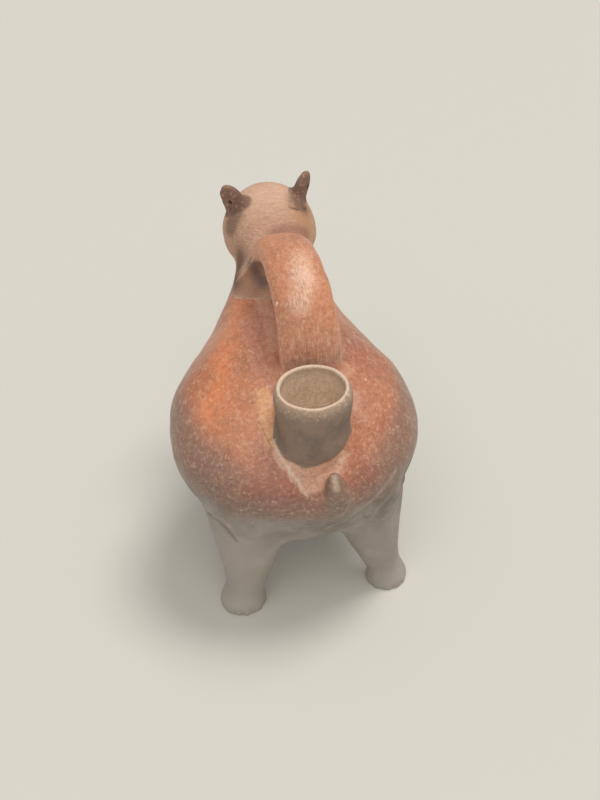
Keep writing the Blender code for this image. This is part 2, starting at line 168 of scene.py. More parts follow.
# Body and neck
bodySize = {
    "width": 0.146,
    "bellyForward": 0.032,
    "bellyHeight": 0.100,
    "bellyUp": 0.045,
    "bellyDown": 0.0575,
    "aside": 0.002,
    "rumpReach": 0.069,
    "rumpDrop": 0.008,
    "rumpSlope": 1.75,
    "rumpRows": 6,
    "rumpFrom": 4,
    "squeeze": 0.08,
    "neckReach": 0.106,
    "neckRise": 0.086,
    "neckAside": -0.008,
    "wall": 0.005,
    # reach, rise, half width, upper half, lower half, aside, squeeze
    "neckSections": (
        (0.264, 0.08, 0.960, 1.04, 0.99, 0.00, 0.02),
        (0.490, 0.22, 0.795, 0.98, 1.04, 0.12, -0.14),
        (0.680, 0.41, 0.555, 0.79, 0.91, 0.56, -0.26),
        (0.810, 0.62, 0.392, 0.60, 0.67, 0.88, -0.22),
        (0.905, 0.81, 0.330, 0.49, 0.47, 1.00, -0.10),
        (1.000, 1.00, 0.295, 0.40, 0.34, 1.00, 0.00),
    ),
}


def bodyRows(inset, steps):
    # Sections from the rump, an ellipse's quarter whose upper half falls faster, to the nape
    size = bodySize
    count = size["rumpRows"]
    angle = np.radians(np.linspace(size["rumpFrom"], 90, count, endpoint=False))
    swell = np.sin(angle)
    rump = np.stack([
        size["bellyForward"] - (size["rumpReach"] - inset) * np.cos(angle),
        size["bellyHeight"] - size["rumpDrop"] * np.cos(angle),
        np.full(count, size["aside"]),
        (size["width"] / 2 - inset) * swell,
        (size["bellyUp"] - inset) * swell ** size["rumpSlope"],
        (size["bellyDown"] - inset) * swell,
        np.full(count, size["squeeze"]),
    ], axis=1)
    belly = (0.0, 0.0, 1.0, 1.0, 1.0, 0.0, size["squeeze"])
    along, rise, wide, upper, lower, aside, squeeze = np.array((belly,) + size["neckSections"]).T
    neck = np.stack([
        size["bellyForward"] + size["neckReach"] * along,
        size["bellyHeight"] + size["neckRise"] * rise,
        size["aside"] + size["neckAside"] * aside,
        size["width"] / 2 * wide - inset,
        size["bellyUp"] * upper - inset,
        size["bellyDown"] * lower - inset,
        squeeze,
    ], axis=1)
    return smoothRows(np.vstack([rump, neck]), steps)


def sectionFrames(rows):
    # Middle of each section in the frame, and the unit vector from it to the back,
    # square to the line of middles
    middles = toFrame(rows[:, 0], rows[:, 2], rows[:, 1])
    run = np.gradient(middles, axis=0)
    upward = np.stack([0 * run[:, 0], run[:, 2], -run[:, 1]], axis=1)
    return middles, unit(upward)


def bodyForm(inset, steps, sides):
    # Ring: half width times cos(v) times (1 + squeeze sin v) across, and the upper or lower
    # half height times sin(v) along the upward vector
    rows = bodyRows(inset, steps)
    middles, upward = sectionFrames(rows)
    v = turnRound(sides)
    wide = rows[:, 3:4] * np.cos(v) * (1 + rows[:, 6:7] * np.sin(v))
    thick = np.where(np.sin(v) > 0, rows[:, 4:5], rows[:, 5:6]) * np.sin(v)
    return ringedForm(middles, np.array(((1.0, 0, 0),)), upward, wide, thick)


def backPoint(forward):
    # Height of the crest of the back above a place
    rows = bodyRows(0, 20)
    middles, upward = sectionFrames(rows)
    crest = middles + rows[:, 4:5] * upward
    place = frameShift["forward"] - crest[:, 1]
    return float(np.interp(forward, place, crest[:, 2]))


# Head and face; places are measured from the head's middle
headSize = {
    "middle": (0.146, -0.006, 0.179),
    "width": 0.0594,
    "length": 0.060,
    "height": 0.056,
    "wall": 0.005,
    # direction (left, back, up), rise in metres, spread
    "swells": (
        ((0.86, 0.30, -0.40), 0.0010, 0.40),
        ((-0.88, 0.30, -0.36), 0.0012, 0.38),
        ((-0.05, -0.16, 0.98), 0.0009, 0.11),
        ((0.0, 0.86, 0.46), -0.0008, 0.45),
    ),
    "snout": {"size": (0.034, 0.0364, 0.023), "reach": 0.014, "lift": 0.0017, "tilt": 14},
    "jaw": {"size": (0.027, 0.0288, 0.0146), "reach": 0.008, "lift": -0.0168, "tilt": 4},
    "mouth": {"width": 0.021, "height": 0.011, "drop": 0.0087},
    # gaze is (forward, left, up); spot is where the pellet shows on the skin, in the frame
    "eye": {"radius": 0.0042, "sink": 0.0015, "gaze": (0.72, 0.54, 0.44), "spot": (0.0160, -0.0216, 0.0123)},
    "nostril": {"radius": 0.0017, "depth": 0.005, "aside": 0.0058, "lift": 0.0056},
}
headMiddle = toFrame(*headSize["middle"])


def roundDirections(rounds, sides):
    # Directions (cos u cos v, cos u sin v, sin u) on rings from pole to pole
    u = np.linspace(-math.pi / 2, math.pi / 2, rounds + 2)[1:-1, None]
    v = turnRound(sides)[None]
    return np.stack(np.broadcast_arrays(np.cos(u) * np.cos(v), np.cos(u) * np.sin(v), np.sin(u)), axis=-1)


def headForm(inset, rounds, sides, swells):
    # Ellipsoid; each swell adds its rise times exp(-(1 - cosine to it) / (spread^2 / 2))
    size = headSize
    way = roundDirections(rounds, sides)
    half = np.array((size["width"], size["length"], size["height"])) / 2 - inset
    rings = way * half
    for toward, rise, spread in swells:
        cosine = way @ unit(np.array(toward))
        rings += way * (rise * np.exp((cosine - 1) / (spread * spread / 2)))[..., None]
    return closedForm(rings + headMiddle)


def muzzleForm(part, rounds, sides):
    # Ellipsoid turned nose-up: y' = y cos t + z sin t, z' = z cos t - y sin t
    size = np.array(part["size"])
    rings = roundDirections(rounds, sides) * size / 2
    tilt = math.radians(part["tilt"])
    y, z = rings[..., 1].copy(), rings[..., 2].copy()
    rings[..., 1] = y * math.cos(tilt) + z * math.sin(tilt)
    rings[..., 2] = z * math.cos(tilt) - y * math.sin(tilt)
    middle = headMiddle + (0, -headSize["length"] / 2 - part["reach"] + size[1] / 2, part["lift"])
    return closedForm(rings + middle)


def eyeForm(side):
    # Round pellet sunk a little in the head
    eye = headSize["eye"]
    forward, aside, height = eye["gaze"]
    gaze = np.array((side * aside, -forward, height))
    half = np.array((headSize["width"], headSize["length"], headSize["height"])) / 2
    middle = headMiddle + gaze * half - gaze * eye["sink"]
    return closedForm(roundDirections(14, 20) * eye["radius"] + middle)


def rodForm(start, end, radius, sides, stretch=1.0):
    # Oval rod: circle of the radius, its level axis stretched, at both ends of a line
    start, end = np.array(start, float), np.array(end, float)
    run = unit(end - start)
    level = unit(np.cross((0, 0, 1.0), run))
    upward = np.cross(run, level)
    v = turnRound(sides)[None]
    wide, thick = radius * stretch * np.cos(v), radius * np.sin(v)
    return ringedForm(np.stack([start, end]), level[None], upward[None], wide, thick)


def mouthForm():
    mouth = headSize["mouth"]
    start = headMiddle - (0, 0, mouth["drop"])
    end = start - (0, headSize["length"] / 2 + headSize["snout"]["reach"] * 2, 0)
    return rodForm(start, end, mouth["height"] / 2, 40, mouth["width"] / mouth["height"])


def nostrilForm(side):
    nostril = headSize["nostril"]
    tip = headMiddle - (0, headSize["length"] / 2 + headSize["snout"]["reach"], 0)
    tip = tip + (side * nostril["aside"], 0, nostril["lift"])
    return rodForm(tip - (0, nostril["depth"], 0), tip + (0, nostril["depth"], 0), nostril["radius"], 16)


# Ears: roots and tips as shares of half the head's length, width and height (forward, left, up)
earSize = {
    "left": {"root": (-0.05, 0.46, 0.12), "tip": (-0.20, 0.88, 1.26), "turn": -38, "width": 0.0200},
    "right": {"root": (0.04, -0.59, 0.36), "tip": (-0.13, -0.87, 1.3214), "turn": 56, "width": 0.0176},
    "thickness": 0.0082,
    "fullness": 0.18,
    "bluntness": 0.75,
    "holeRadius": 0.0016,
    "holeShare": 0.66,
    # the dark clay: thickness of the form it fills, where that form ends, and where the tip fades
    "finishThickness": 0.7,
    "finishRange": (0.98, 1.55),
    "tipRange": (0.68, 1.0),
    "tipFade": 0.4,
}


def earAxes(side):
    # Root, tip, broad axis, thin axis and long axis of the lobe
    half = np.array((headSize["length"], headSize["width"], headSize["height"])) / 2
    forward, aside, height = (np.array((earSize[side]["root"], earSize[side]["tip"])) * half).T
    root, tip = headMiddle + np.stack([aside, -forward, height], axis=1)
    up = unit(tip - root)
    turn = math.radians(earSize[side]["turn"])
    broad = np.array((math.cos(turn), math.sin(turn), 0))
    broad = unit(broad - up * (broad @ up))
    return root, tip, broad, np.cross(up, broad), up


def earForm(side):
    # Ellipsoid whose width shrinks by fullness towards the tip and whose length coordinate
    # is raised to the bluntness
    root, tip, broad, thin, up = earAxes(side)
    way = roundDirections(28, 36)
    along = np.sign(way[..., 2]) * np.abs(way[..., 2]) ** earSize["bluntness"]
    wide = way[..., 0] * (1 - earSize["fullness"] * way[..., 2]) * earSize[side]["width"] / 2
    thick = way[..., 1] * earSize["thickness"] / 2
    rings = wide[..., None] * broad + thick[..., None] * thin
    rings += along[..., None] * up * np.linalg.norm(tip - root) / 2
    return closedForm(rings + (root + tip) / 2)


def earHoleForm(side):
    root, tip, broad, thin, up = earAxes(side)
    spot = root + (tip - root) * earSize["holeShare"]
    reach = thin * earSize["thickness"]
    return rodForm(spot - reach, spot + reach, earSize["holeRadius"], 18)


# Handle: a strap, lens-shaped in section, from the back to the nape
handleSize = {
    "width": 0.0345,
    "thickness": 0.016,
    "flatness": 0.85,
    "rise": 0.0378,
    "sink": 0.012,
    "footForward": 0.0258,
    "napeForward": 0.101,
    "footAside": -0.0095,
    "napeAside": -0.0044,
    # share of the span, share of the rise, share of the width
    "arch": (
        (0.000, 0.35, 1.04),
        (0.045, 0.68, 1.00),
        (0.165, 0.92, 1.00),
        (0.350, 1.00, 0.98),
        (0.560, 0.93, 0.96),
        (0.775, 0.72, 0.94),
        (0.930, 0.45, 0.86),
    ),
    "footSpread": 1.10,
    "napeSpread": 0.76,
    "napeSinkForward": 0.62,
    "napeSinkDown": 0.5,
}


def handlePath(steps):
    # Middle line in the frame and width share: the straight line from foot to nape plus the arch,
    # with a sunk row at each end
    size = handleSize
    share, rise, wide = np.array(size["arch"]).T
    foot, nape = backPoint(size["footForward"]), backPoint(size["napeForward"])
    forward = size["footForward"] + (size["napeForward"] - size["footForward"]) * share
    height = foot + (nape - foot) * share + size["rise"] * rise
    aside = size["footAside"] + (size["napeAside"] - size["footAside"]) * share
    rows = np.vstack([
        (size["footForward"], size["footAside"], foot - size["sink"], size["footSpread"]),
        np.stack([forward, aside, height, wide], axis=1),
        (size["napeForward"] + size["sink"] * size["napeSinkForward"], size["napeAside"],
         nape - size["sink"] * size["napeSinkDown"], size["napeSpread"]),
    ])
    rows = smoothRows(rows, steps)
    path = toFrame(rows[:, 0], rows[:, 1], rows[:, 2])
    run = unit(np.gradient(path, axis=0))
    across = unit(np.array((1.0, 0, 0)) - run[:, :1] * run)
    outward = np.cross(across, run)
    return path, across, outward, rows[:, 3]


def handleForm(steps, sides):
    # Ring: half width times sign(cos v) |cos v|^flatness across, half thickness times sin(v) outward
    path, across, outward, wide = handlePath(steps)
    v = turnRound(sides)
    lens = np.sign(np.cos(v)) * np.abs(np.cos(v)) ** handleSize["flatness"]
    wide = handleSize["width"] / 2 * wide[:, None] * lens
    return ringedForm(path, across, outward, wide, handleSize["thickness"] / 2 * np.sin(v))


# Spout: a short tube that leans to the rear
spoutSize = {
    "base": (-0.0056, 0.083728, 0.128662),
    "axis": (0, 0.0958457, 0.9953962),
    "diameter": 0.0430,
    "taper": 0.0052,
    "rise": 0.0305,
    "root": 0.030,
    "wall": 0.0042,
    "wobble": 0.00014,
    # Section through the wall: radius and height in millimetres, up the bore, over the lip, down
    # the outside
    "section": (
        (15.9, 3.0), (17.2, 26.0), (17.35, 29.3), (17.75, 30.2), (18.4, 30.4), (19.4, 29.9), (20.4, 28.6),
        (21.1, 26.6), (21.35, 24.0), (21.1, 20.0), (20.1, 12.0), (19.2, 5.0), (19.0, 3.0)),
    # Where the wall is drawn to its section: heights over which that begins, the wall's middle
    # radius and the reach to either side of it
    "shapedAbove": (0.003, 0.010),
    "wallReach": (0.0190, 0.0055),
    "borePast": (1.5, 1.25),
    "collar": 0.0180,
    "collarRise": 0.012,
    "collarReach": 0.008,
}
spoutBase = np.array(spoutSize["base"])
spoutAxis = unit(np.array(spoutSize["axis"]))


def turnedForm(profile, sides):
    # Surface of revolution round the spout's axis: radius cos v, radius sin v, height
    radius, height = np.array(profile).T[..., None]
    level = np.array(((1.0, 0, 0),))
    v = turnRound(sides)
    middles = spoutBase + height * spoutAxis
    return ringedForm(middles, level, np.cross(spoutAxis, level), radius * np.cos(v), radius * np.sin(v))


def spoutForm():
    outer, rise, root = spoutSize["diameter"] / 2, spoutSize["rise"], spoutSize["root"]
    return turnedForm(((outer, rise), (outer - spoutSize["taper"], -root)), 120)


def boreForm():
    # The tube less its wall, running past its rim and its root
    inner, rise = spoutSize["diameter"] / 2 - spoutSize["wall"], spoutSize["rise"]
    pastRim, pastRoot = spoutSize["borePast"]
    foot = (inner - spoutSize["taper"], -spoutSize["root"] * pastRoot)
    return turnedForm(((inner, rise * pastRim), (inner, rise), foot), 120)


# Legs: feet and hips as (forward, left), foot radius, thigh radius. The haunches are a second
# pair of limbs on the rear feet that lean back into the belly
legSize = {
    "rearLeft": {"foot": (0.0, 0.0452), "hip": (0.012, 0.0355), "footRadius": 0.0141, "thigh": 0.0292},
    "rearRight": {"foot": (0.0, -0.045), "hip": (0.012, -0.0315), "footRadius": 0.0128, "thigh": 0.0292},
    "frontLeft": {"foot": (0.092, 0.040), "hip": (0.082, 0.028), "footRadius": 0.0141, "thigh": 0.0235},
    "frontRight": {"foot": (0.092, -0.038), "hip": (0.082, -0.024), "footRadius": 0.0128, "thigh": 0.0235},
    "leftHaunch": {"foot": (0.0, 0.0448), "hip": (-0.0035, 0.0325), "footRadius": 0.0133, "thigh": 0.0270},
    "rightHaunch": {"foot": (0.0, -0.0446), "hip": (-0.0035, -0.0278), "footRadius": 0.0120, "thigh": 0.0264},
    "hipHeight": 0.084,
    "footHeight": 0.0045,
    "ankleShare": 0.82,
    "ankleIn": 0.0016,
    "ankleHeight": 0.013,
    # the three sections inside the belly: forward and up from the hip, shares of aside and of thigh
    "inBellyForward": (0.003, 0.009, 0.017),
    "inBellyUp": (0.007, 0.015, 0.023),
    "inBellyAside": (0.98, 0.94, 0.88),
    "inBellyThigh": (0.99, 0.93, 0.82),
}


def limbForm(path, radii, sides):
    # Circle of each radius, square to the path
    run = unit(np.gradient(path, axis=0))
    level = unit(np.array((1.0, 0, 0)) - run[:, :1] * run)
    v, radii = turnRound(sides), radii[:, None]
    return ringedForm(path, level, np.cross(run, level), radii * np.cos(v), radii * np.sin(v))


def legForm(name):
    # From the ankle up, aside moves by share^0.8 and forward by share^2 from foot to hip, and
    # the radius grows by share^1.2 from ankle to thigh; the foot flares outward
    leg = legSize[name]
    share = np.linspace(0, 1, 22)
    ankle = leg["footRadius"] * legSize["ankleShare"]
    rise = legSize["ankleHeight"] + (legSize["hipHeight"] - legSize["ankleHeight"]) * share
    forward = leg["foot"][0] + (leg["hip"][0] - leg["foot"][0]) * share ** 2
    ankleAside = leg["foot"][1] - math.copysign(legSize["ankleIn"], leg["foot"][1])
    aside = ankleAside + (leg["hip"][1] - ankleAside) * share ** 0.8
    radii = ankle + (leg["thigh"] - ankle) * share ** 1.2
    sole = toFrame(leg["foot"][0], leg["foot"][1], np.array((0, legSize["footHeight"])))
    ways = ("Forward", "Up", "Aside", "Thigh")
    past, up, inward, narrowed = (np.array(legSize["inBelly" + way]) for way in ways)
    inBelly = toFrame(leg["hip"][0] + past, leg["hip"][1] * inward, legSize["hipHeight"] + up)
    path = np.vstack([sole, toFrame(forward, aside, rise), inBelly])
    return limbForm(path, np.concatenate([[leg["footRadius"]] * 2, radii, leg["thigh"] * narrowed]), 56)


# Tail: a short cone that turns up
tailSize = {
    "radius": 0.0106,
    "tipRadius": 0.0021,
    "rise": 0.0308,
    "lean": 0.0093,
    "tipInward": 0.0012,
    "root": (-0.0258, -0.010, 0.086),
}


def tailForm():
    # Lean follows (5s - 2s^2) / 3, and the radius shrinks and the tip turns aside by s^2
    size = tailSize
    share = np.linspace(0, 1, 24)
    lean = size["lean"] * (5 * share - 2 * share ** 2) / 3
    forward, aside, height = size["root"]
    path = toFrame(forward - lean, aside, height + size["rise"] * share)
    path[:, 0] += size["tipInward"] * share ** 2
    return limbForm(path, size["radius"] + (size["tipRadius"] - size["radius"]) * share ** 2, 40)


# Clay worked into the joint, each point with its radius in millimetres: the web from the
# handle's left corner down the neck and the thicker clay behind it
jointClay = {
    "webEdge": ((9.0, -4.0, 192.5, 2.5), (10.3, -14.0, 186.0, 2.5), (12.0, -25.0, 177.5, 2.4),
                (15.4, -35.2, 168.8, 2.5), (18.3, -40.4, 161.8, 2.3), (20.8, -42.8, 156.4, 1.5)),
    "webBack": ((5.0, -12.0, 190.0, 3.6), (6.2, -22.0, 182.0, 4.2), (8.0, -31.0, 173.0, 4.4),
                (10.5, -38.0, 166.0, 4.0)),
}


def jointForm(name):
    rows = smoothRows(np.array(jointClay[name]) * 0.001, 8)
    return limbForm(rows[:, :3], rows[:, 3], 40)


# One skin over all the clay forms
skinVoxel = 0.00134
legNames = ("rearLeft", "rearRight", "frontLeft", "frontRight", "leftHaunch", "rightHaunch")
clayForms = [
    bodyForm(0, 8, 128),
    headForm(0, 48, 72, headSize["swells"]),
    muzzleForm(headSize["snout"], 30, 44),
    muzzleForm(headSize["jaw"], 26, 36),
    eyeForm(1),
    eyeForm(-1),
    earForm("left"),
    earForm("right"),
    handleForm(9, 56),
    spoutForm(),
    tailForm(),
]
clayForms += [legForm(name) for name in legNames] + [jointForm(name) for name in jointClay]
vessel = voxelSkin(newObject("clayVessel", *joinedForms(clayForms)), skinVoxel)
print("one skin", len(vessel.data.vertices))
cutAway(vessel, [newObject("pouringMouth", *mouthForm()), newObject("spoutBore", *boreForm())])
voxelSkin(vessel, skinVoxel)
print("spout and mouth opened", len(vessel.data.vertices))


def rowsOf(source, key, wide, kind=float):
    # A mesh's own numbers as an array of rows
    rows = np.empty(len(source) * wide, kind)
    source.foreach_get(key, rows)
    return rows.reshape(-1, wide)


# Handwork on the skin, done on its vertices
mesh = vessel.data
points = rowsOf(mesh.vertices, "co", 3)
edges = rowsOf(mesh.edges, "vertices", 2, int)
corners = rowsOf(mesh.polygons, "vertices", 4, int)
neighbourCount = np.bincount(edges.ravel(), minlength=len(points))


def neighbourMean(values):
    # Mean of a value over the vertices that share an edge with each vertex
    values = values.reshape(len(values), -1)
    total = [
        np.bincount(edges[:, 0], column[edges[:, 1]], len(values))
        + np.bincount(edges[:, 1], column[edges[:, 0]], len(values))
        for column in values.T
    ]
    return (np.stack(total, axis=1) / neighbourCount[:, None]).squeeze()


def outwardNormals(places):
    # Cross products of each face's diagonals, summed at its corners
    a, b, c, d = (places[corners[:, k]] for k in range(4))
    face = np.cross(c - a, d - b)
    total = [np.bincount(corners.ravel(), np.repeat(face[:, axis], 4), len(places)) for axis in range(3)]
    return unit(np.stack(total, axis=1))


def spoutPlace(places):
    # Height along the spout's axis, distance from it, and the unit vector away from it
    away = places - spoutBase
    height = away @ spoutAxis
    away = away - height[:, None] * spoutAxis
    radius = np.linalg.norm(away, axis=1)
    return height, radius, away / np.maximum(radius, 1e-9)[:, None]


def wavySum(places, wavelength, seed, count=14):
    # Sum of sine waves in random directions, of about one wavelength
    random = np.random.default_rng(seed)
    way = unit(random.normal(size=(count, 3)))
    length = wavelength * random.uniform(0.75, 1.35, count)
    phase = random.uniform(0, 2 * math.pi, count)
    return np.sin(places @ way.T * (2 * math.pi / length) + phase).sum(1) / math.sqrt(count)


def nearestOnPath(places, path):
    # Nearest point of a chain of straight stretches
    path = np.asarray(path, float)
    found = np.repeat(path[:1], len(places), axis=0)
    least = np.full(len(places), np.inf)
    for start, end in zip(path, path[1:]):
        run = end - start
        share = np.clip((places - start) @ run / (run @ run), 0, 1)
        spot = start + share[:, None] * run
        distance = np.linalg.norm(places - spot, axis=1)
        found[distance < least] = spot[distance < least]
        least = np.minimum(least, distance)
    return found


def pathDistance(places, path):
    return np.linalg.norm(places - nearestOnPath(places, path), axis=1)


def pathShare(places, path, width, strength=1.0):
    # Strength times exp(-(distance / width)^2), the path and the width in millimetres
    distance = pathDistance(places, np.array(path) * 0.001)
    return strength * np.exp(-(distance / (width * 0.001)) ** 2)


# Fillets are shares of full smoothing, ranges are distances or heights in metres, and the lines
# and outlines are in millimetres in the frame
handwork = {
    "creaseFrom": 0.00005,
    "creaseRange": 0.00012,
    "creaseSpread": 9,
    "creaseGrowth": 1.5,
    "filletRounds": 60,
    "legFillet": 1.0,
    "spoutFillet": 0.24,
    "smallFillet": 0.15,
    "tailFillet": 0.10,
    "eyeFillet": 0.03,
    "webFillet": 0.30,
    "legRange": (0.088, 0.105),
    "spoutRange": (0.026, 0.034),
    "spoutAbove": (0.10, 0.11),
    "tailRange": (0.014, 0.020),
    "tailLine": ((-12, 108, 92), (-12, 111, 114)),
    "eyeRange": (0.0065, 0.0085),
    "webRange": (0.004, 0.008),
    "soleHeight": 0.002,
    "evenRounds": 3,
    "evenShare": 0.5,
    "evenLessAtEyes": 0.35,
    # height, wavelength and seed of the unevenness
    "waves": ((0.00030, 0.034, 3), (0.00013, 0.013, 5)),
    "waveAbove": (0.001, 0.006),
    "handleEdge": (1.15, 1.45),
    "handleSlice": 0.004,
    "patchRise": 0.00028,
    "patchEdge": 0.0006,
    "patchFacing": (0.2, 0.4),
    "patchOutline": ((22.0, -4.1), (23.0, 17.2), (23.2, 33.7), (20.6, 49.3), (18.7, 58.3), (8.0, 54.0),
                     (6.9, 31.2), (7.7, 4.3)),
    "sharpAngle": 62,
}

# Each line on the skin: how far it stands up (or is sunk in), its half width and its path
skinLines = {
    "spoutSmear": (0.40, 1.2, (
        (17.2, 85.0, 126.0), (16.7, 88.2, 123.4), (14.9, 92.8, 119.6), (12.4, 96.3, 116.3),
        (10.9, 99.2, 112.7), (7.8, 101.5, 109.7), (6.5, 104.2, 105.3), (4.2, 106.4, 102.0))),
    "spoutFoot": (-0.9, 2.0, (
        (16.9, 86.5, 125.6), (16.0, 90.0, 122.3), (13.4, 93.6, 119.3), (9.4, 96.4, 116.8),
        (4.0, 98.6, 115.5), (-1.5, 99.8, 115.9), (-7.5, 100.4, 117.5))),
    "leftThigh": (0.60, 1.0, (
        (59.6, 70.8, 76.0), (57.1, 80.2, 80.6), (52.8, 91.0, 85.5), (50.3, 95.3, 85.4), (47.1, 98.4, 82.3),
        (44.5, 99.3, 77.1))),
    "underLeftThigh": (-0.55, 1.4, (
        (57.6, 76.0, 74.6), (55.9, 81.1, 76.4), (52.6, 91.0, 81.1), (48.9, 95.3, 78.2), (46.1, 96.6, 72.3),
        (44.6, 96.4, 68.5))),
    "rightRing": (0.35, 1.5, (
        (-48.8, 94.1, 99.9), (-43.8, 98.2, 96.2), (-39.0, 101.3, 93.7), (-33.0, 104.3, 90.0),
        (-26.2, 105.6, 85.8), (-18.5, 108.0, 83.6), (-11.6, 108.5, 80.3), (-4.8, 106.9, 76.5))),
    "rightThigh": (0.30, 1.5, (
        (-56.0, 80.0, 80.5), (-51.0, 92.4, 86.6), (-42.6, 100.4, 86.7), (-35.6, 102.7, 81.9),
        (-31.4, 100.5, 72.0))),
    "rightNotch": (1.1, 2.2, ((-57.6, 74.0, 77.5), (-57.0, 78.0, 77.5))),
    "tailRing": (0.35, 1.5, (
        (-15.2, 100.8, 109.6), (-18.1, 104.8, 106.1), (-18.8, 108.7, 102.5), (-18.2, 111.6, 96.5),
        (-15.3, 113.2, 92.0), (-10.7, 113.4, 88.8))),
    "tailLeftGroove": (-0.60, 1.2, ((-7.6, 106.5, 112.5), (-5.6, 109.4, 107.0), (-3.4, 110.6, 100.6))),
    "tailRightGroove": (-0.60, 1.2, ((-14.4, 106.5, 112.5), (-16.4, 109.0, 106.0), (-17.4, 110.8, 99.5))),
    "tailFold": (0.30, 0.9, ((-10.6, 112.6, 113.0), (-11.8, 114.6, 104.0))),
    "smearFold": (0.30, 1.0, ((6.2, 102.2, 109.2), (-1.5, 102.3, 107.6), (-8.0, 103.3, 108.1))),
    "underHead": (-0.35, 1.6, (
        (8.6, -28.0, 190.6), (-1.0, -36.0, 191.8), (-11.0, -41.9, 188.0), (-19.0, -44.0, 184.6))),
    "earPit": (-0.7, 1.5, ((15.6, -66.0, 197.6), (15.9, -65.6, 196.8))),
    "earCrack": (-0.45, 1.0, ((-19.3, -54.0, 199.0), (-24.3, -54.7, 196.0), (-31.9, -62.3, 192.8))),
    "flankCrack": (-0.20, 1.2, (
        (25.0, 71.0, 135.2), (22.4, 78.0, 130.6), (20.6, 82.8, 127.3), (19.1, 87.3, 123.4))),
    "handleChip": (-0.45, 1.1, ((2.6, 40.0, 185.9), (6.2, 40.6, 184.8))),
    "rightEarRoot": (1.1, 5.0, ((-27.0, -60.0, 206.0), (-26.0, -58.0, 201.5))),
}

# Nicks round the soles: the foot's middle, its radius and the nicks' bearings in degrees
nickSize = {"rise": -0.8, "width": 1.15, "height": 2.6}
footNicks = {
    "rearLeft": ((43.2, 74.5), 14.1, (58, 80, 103, 146, 20)),
    "rearRight": ((-47.0, 74.5), 12.8, (35, 66, 98, 130)),
    "frontLeft": ((38.0, -17.5), 14.1, (-118, -92, -64)),
    "frontRight": ((-40.0, -17.5), 12.8, (-116, -88, -62)),
}
for foot, (middle, reach, bearings) in footNicks.items():
    for bearing in bearings:
        x = middle[0] + reach * math.cos(math.radians(bearing))
        y = middle[1] + reach * math.sin(math.radians(bearing))
        upright = ((x, y, 0.0), (x, y, nickSize["height"]))
        skinLines[foot + "Nick" + str(bearing)] = (nickSize["rise"], nickSize["width"], upright)


def lineShare(places, line, wider=1.0):
    _, width, path = skinLines[line]
    return pathShare(places, path, width * wider)


def outlineDistance(flat, outline):
    # Distance in plan to a closed outline, negative inside it by the even-odd rule
    outline = np.array(outline) * 0.001
    after = np.roll(outline, -1, axis=0)
    inside = np.zeros(len(flat), bool)
    for a, b in zip(outline, after):
        crosses = (a[1] > flat[:, 1]) != (b[1] > flat[:, 1])
        inside ^= crosses & (flat[:, 0] < (b[0] - a[0]) * (flat[:, 1] - a[1]) / (b[1] - a[1]) + a[0])
    distance = pathDistance(flat, np.vstack([outline, outline[:1]]))
    return np.where(inside, -distance, distance)


def patchShare(places, edge):
    # 1 inside the patch's outline and 0 outside it, with a soft edge
    return 1 - smoothStep(-edge, edge, outlineDistance(places[:, :2], handwork["patchOutline"]))


def handleShare(places):
    # Oval distance from the nearest point of the handle's middle line, as a share of its section
    path, across, outward, wide = handlePath(5)
    nearest = np.full(len(places), 9.0)
    for middle, side, out, share in zip(path, across, outward, wide):
        away = places - middle
        level = away @ side / (handleSize["width"] / 2 * share)
        rise = away @ out / (handleSize["thickness"] / 2)
        along = np.abs(away @ np.cross(side, out) / handwork["handleSlice"])
        distance = np.sqrt(level ** 2 + rise ** 2 + np.maximum(along - 0.5, 0) ** 2)
        nearest = np.minimum(nearest, distance)
    return 1 - smoothStep(*handwork["handleEdge"], nearest)


def eyeDistances(places):
    # Distance to the middle of each eye's pellet
    spots = [headMiddle + np.array((side, 1, 1)) * headSize["eye"]["spot"] for side in (1, -1)]
    return [np.linalg.norm(places - spot, axis=1) for spot in spots]


# Fillets where the forms were luted together: smooth only the creases and what lies round them
normals = outwardNormals(points)
crease = ((neighbourMean(points) - points) * normals).sum(1)
crease = np.clip((crease - handwork["creaseFrom"]) / handwork["creaseRange"], 0, 1)
for _ in range(handwork["creaseSpread"]):
    crease = np.clip(np.maximum(crease, neighbourMean(crease) * handwork["creaseGrowth"]), 0, 1)
_, spoutRadius, _ = spoutPlace(points)
tailAway = pathDistance(points, np.array(handwork["tailLine"]) * 0.001)
webAway = pathDistance(points, np.array(jointClay["webEdge"])[:, :3] * 0.001)
atLegs = 1 - smoothStep(*handwork["legRange"], points[:, 2])
atSpout = 1 - smoothStep(*handwork["spoutRange"], spoutRadius)
atSpout = atSpout * smoothStep(*handwork["spoutAbove"], points[:, 2])
atTail = 1 - smoothStep(*handwork["tailRange"], tailAway)
atEyes = sum(1 - smoothStep(*handwork["eyeRange"], distance) for distance in eyeDistances(points))
atWeb = 1 - smoothStep(*handwork["webRange"], webAway)
fillet = handwork["smallFillet"]
for name, place in (("leg", atLegs), ("spout", atSpout), ("tail", atTail), ("eye", atEyes)):
    fillet = fillet + (handwork[name + "Fillet"] - fillet) * place
crease = np.maximum(crease * fillet, handwork["webFillet"] * atWeb)
crease[points[:, 2] < handwork["soleHeight"]] = 0
for _ in range(handwork["filletRounds"]):
    points = points + (neighbourMean(points) - points) * crease[:, None]
for _ in range(handwork["evenRounds"]):
    even = handwork["evenShare"] - handwork["evenLessAtEyes"] * atEyes
    points = points + (neighbourMean(points) - points) * even[:, None]
print("creases filleted")

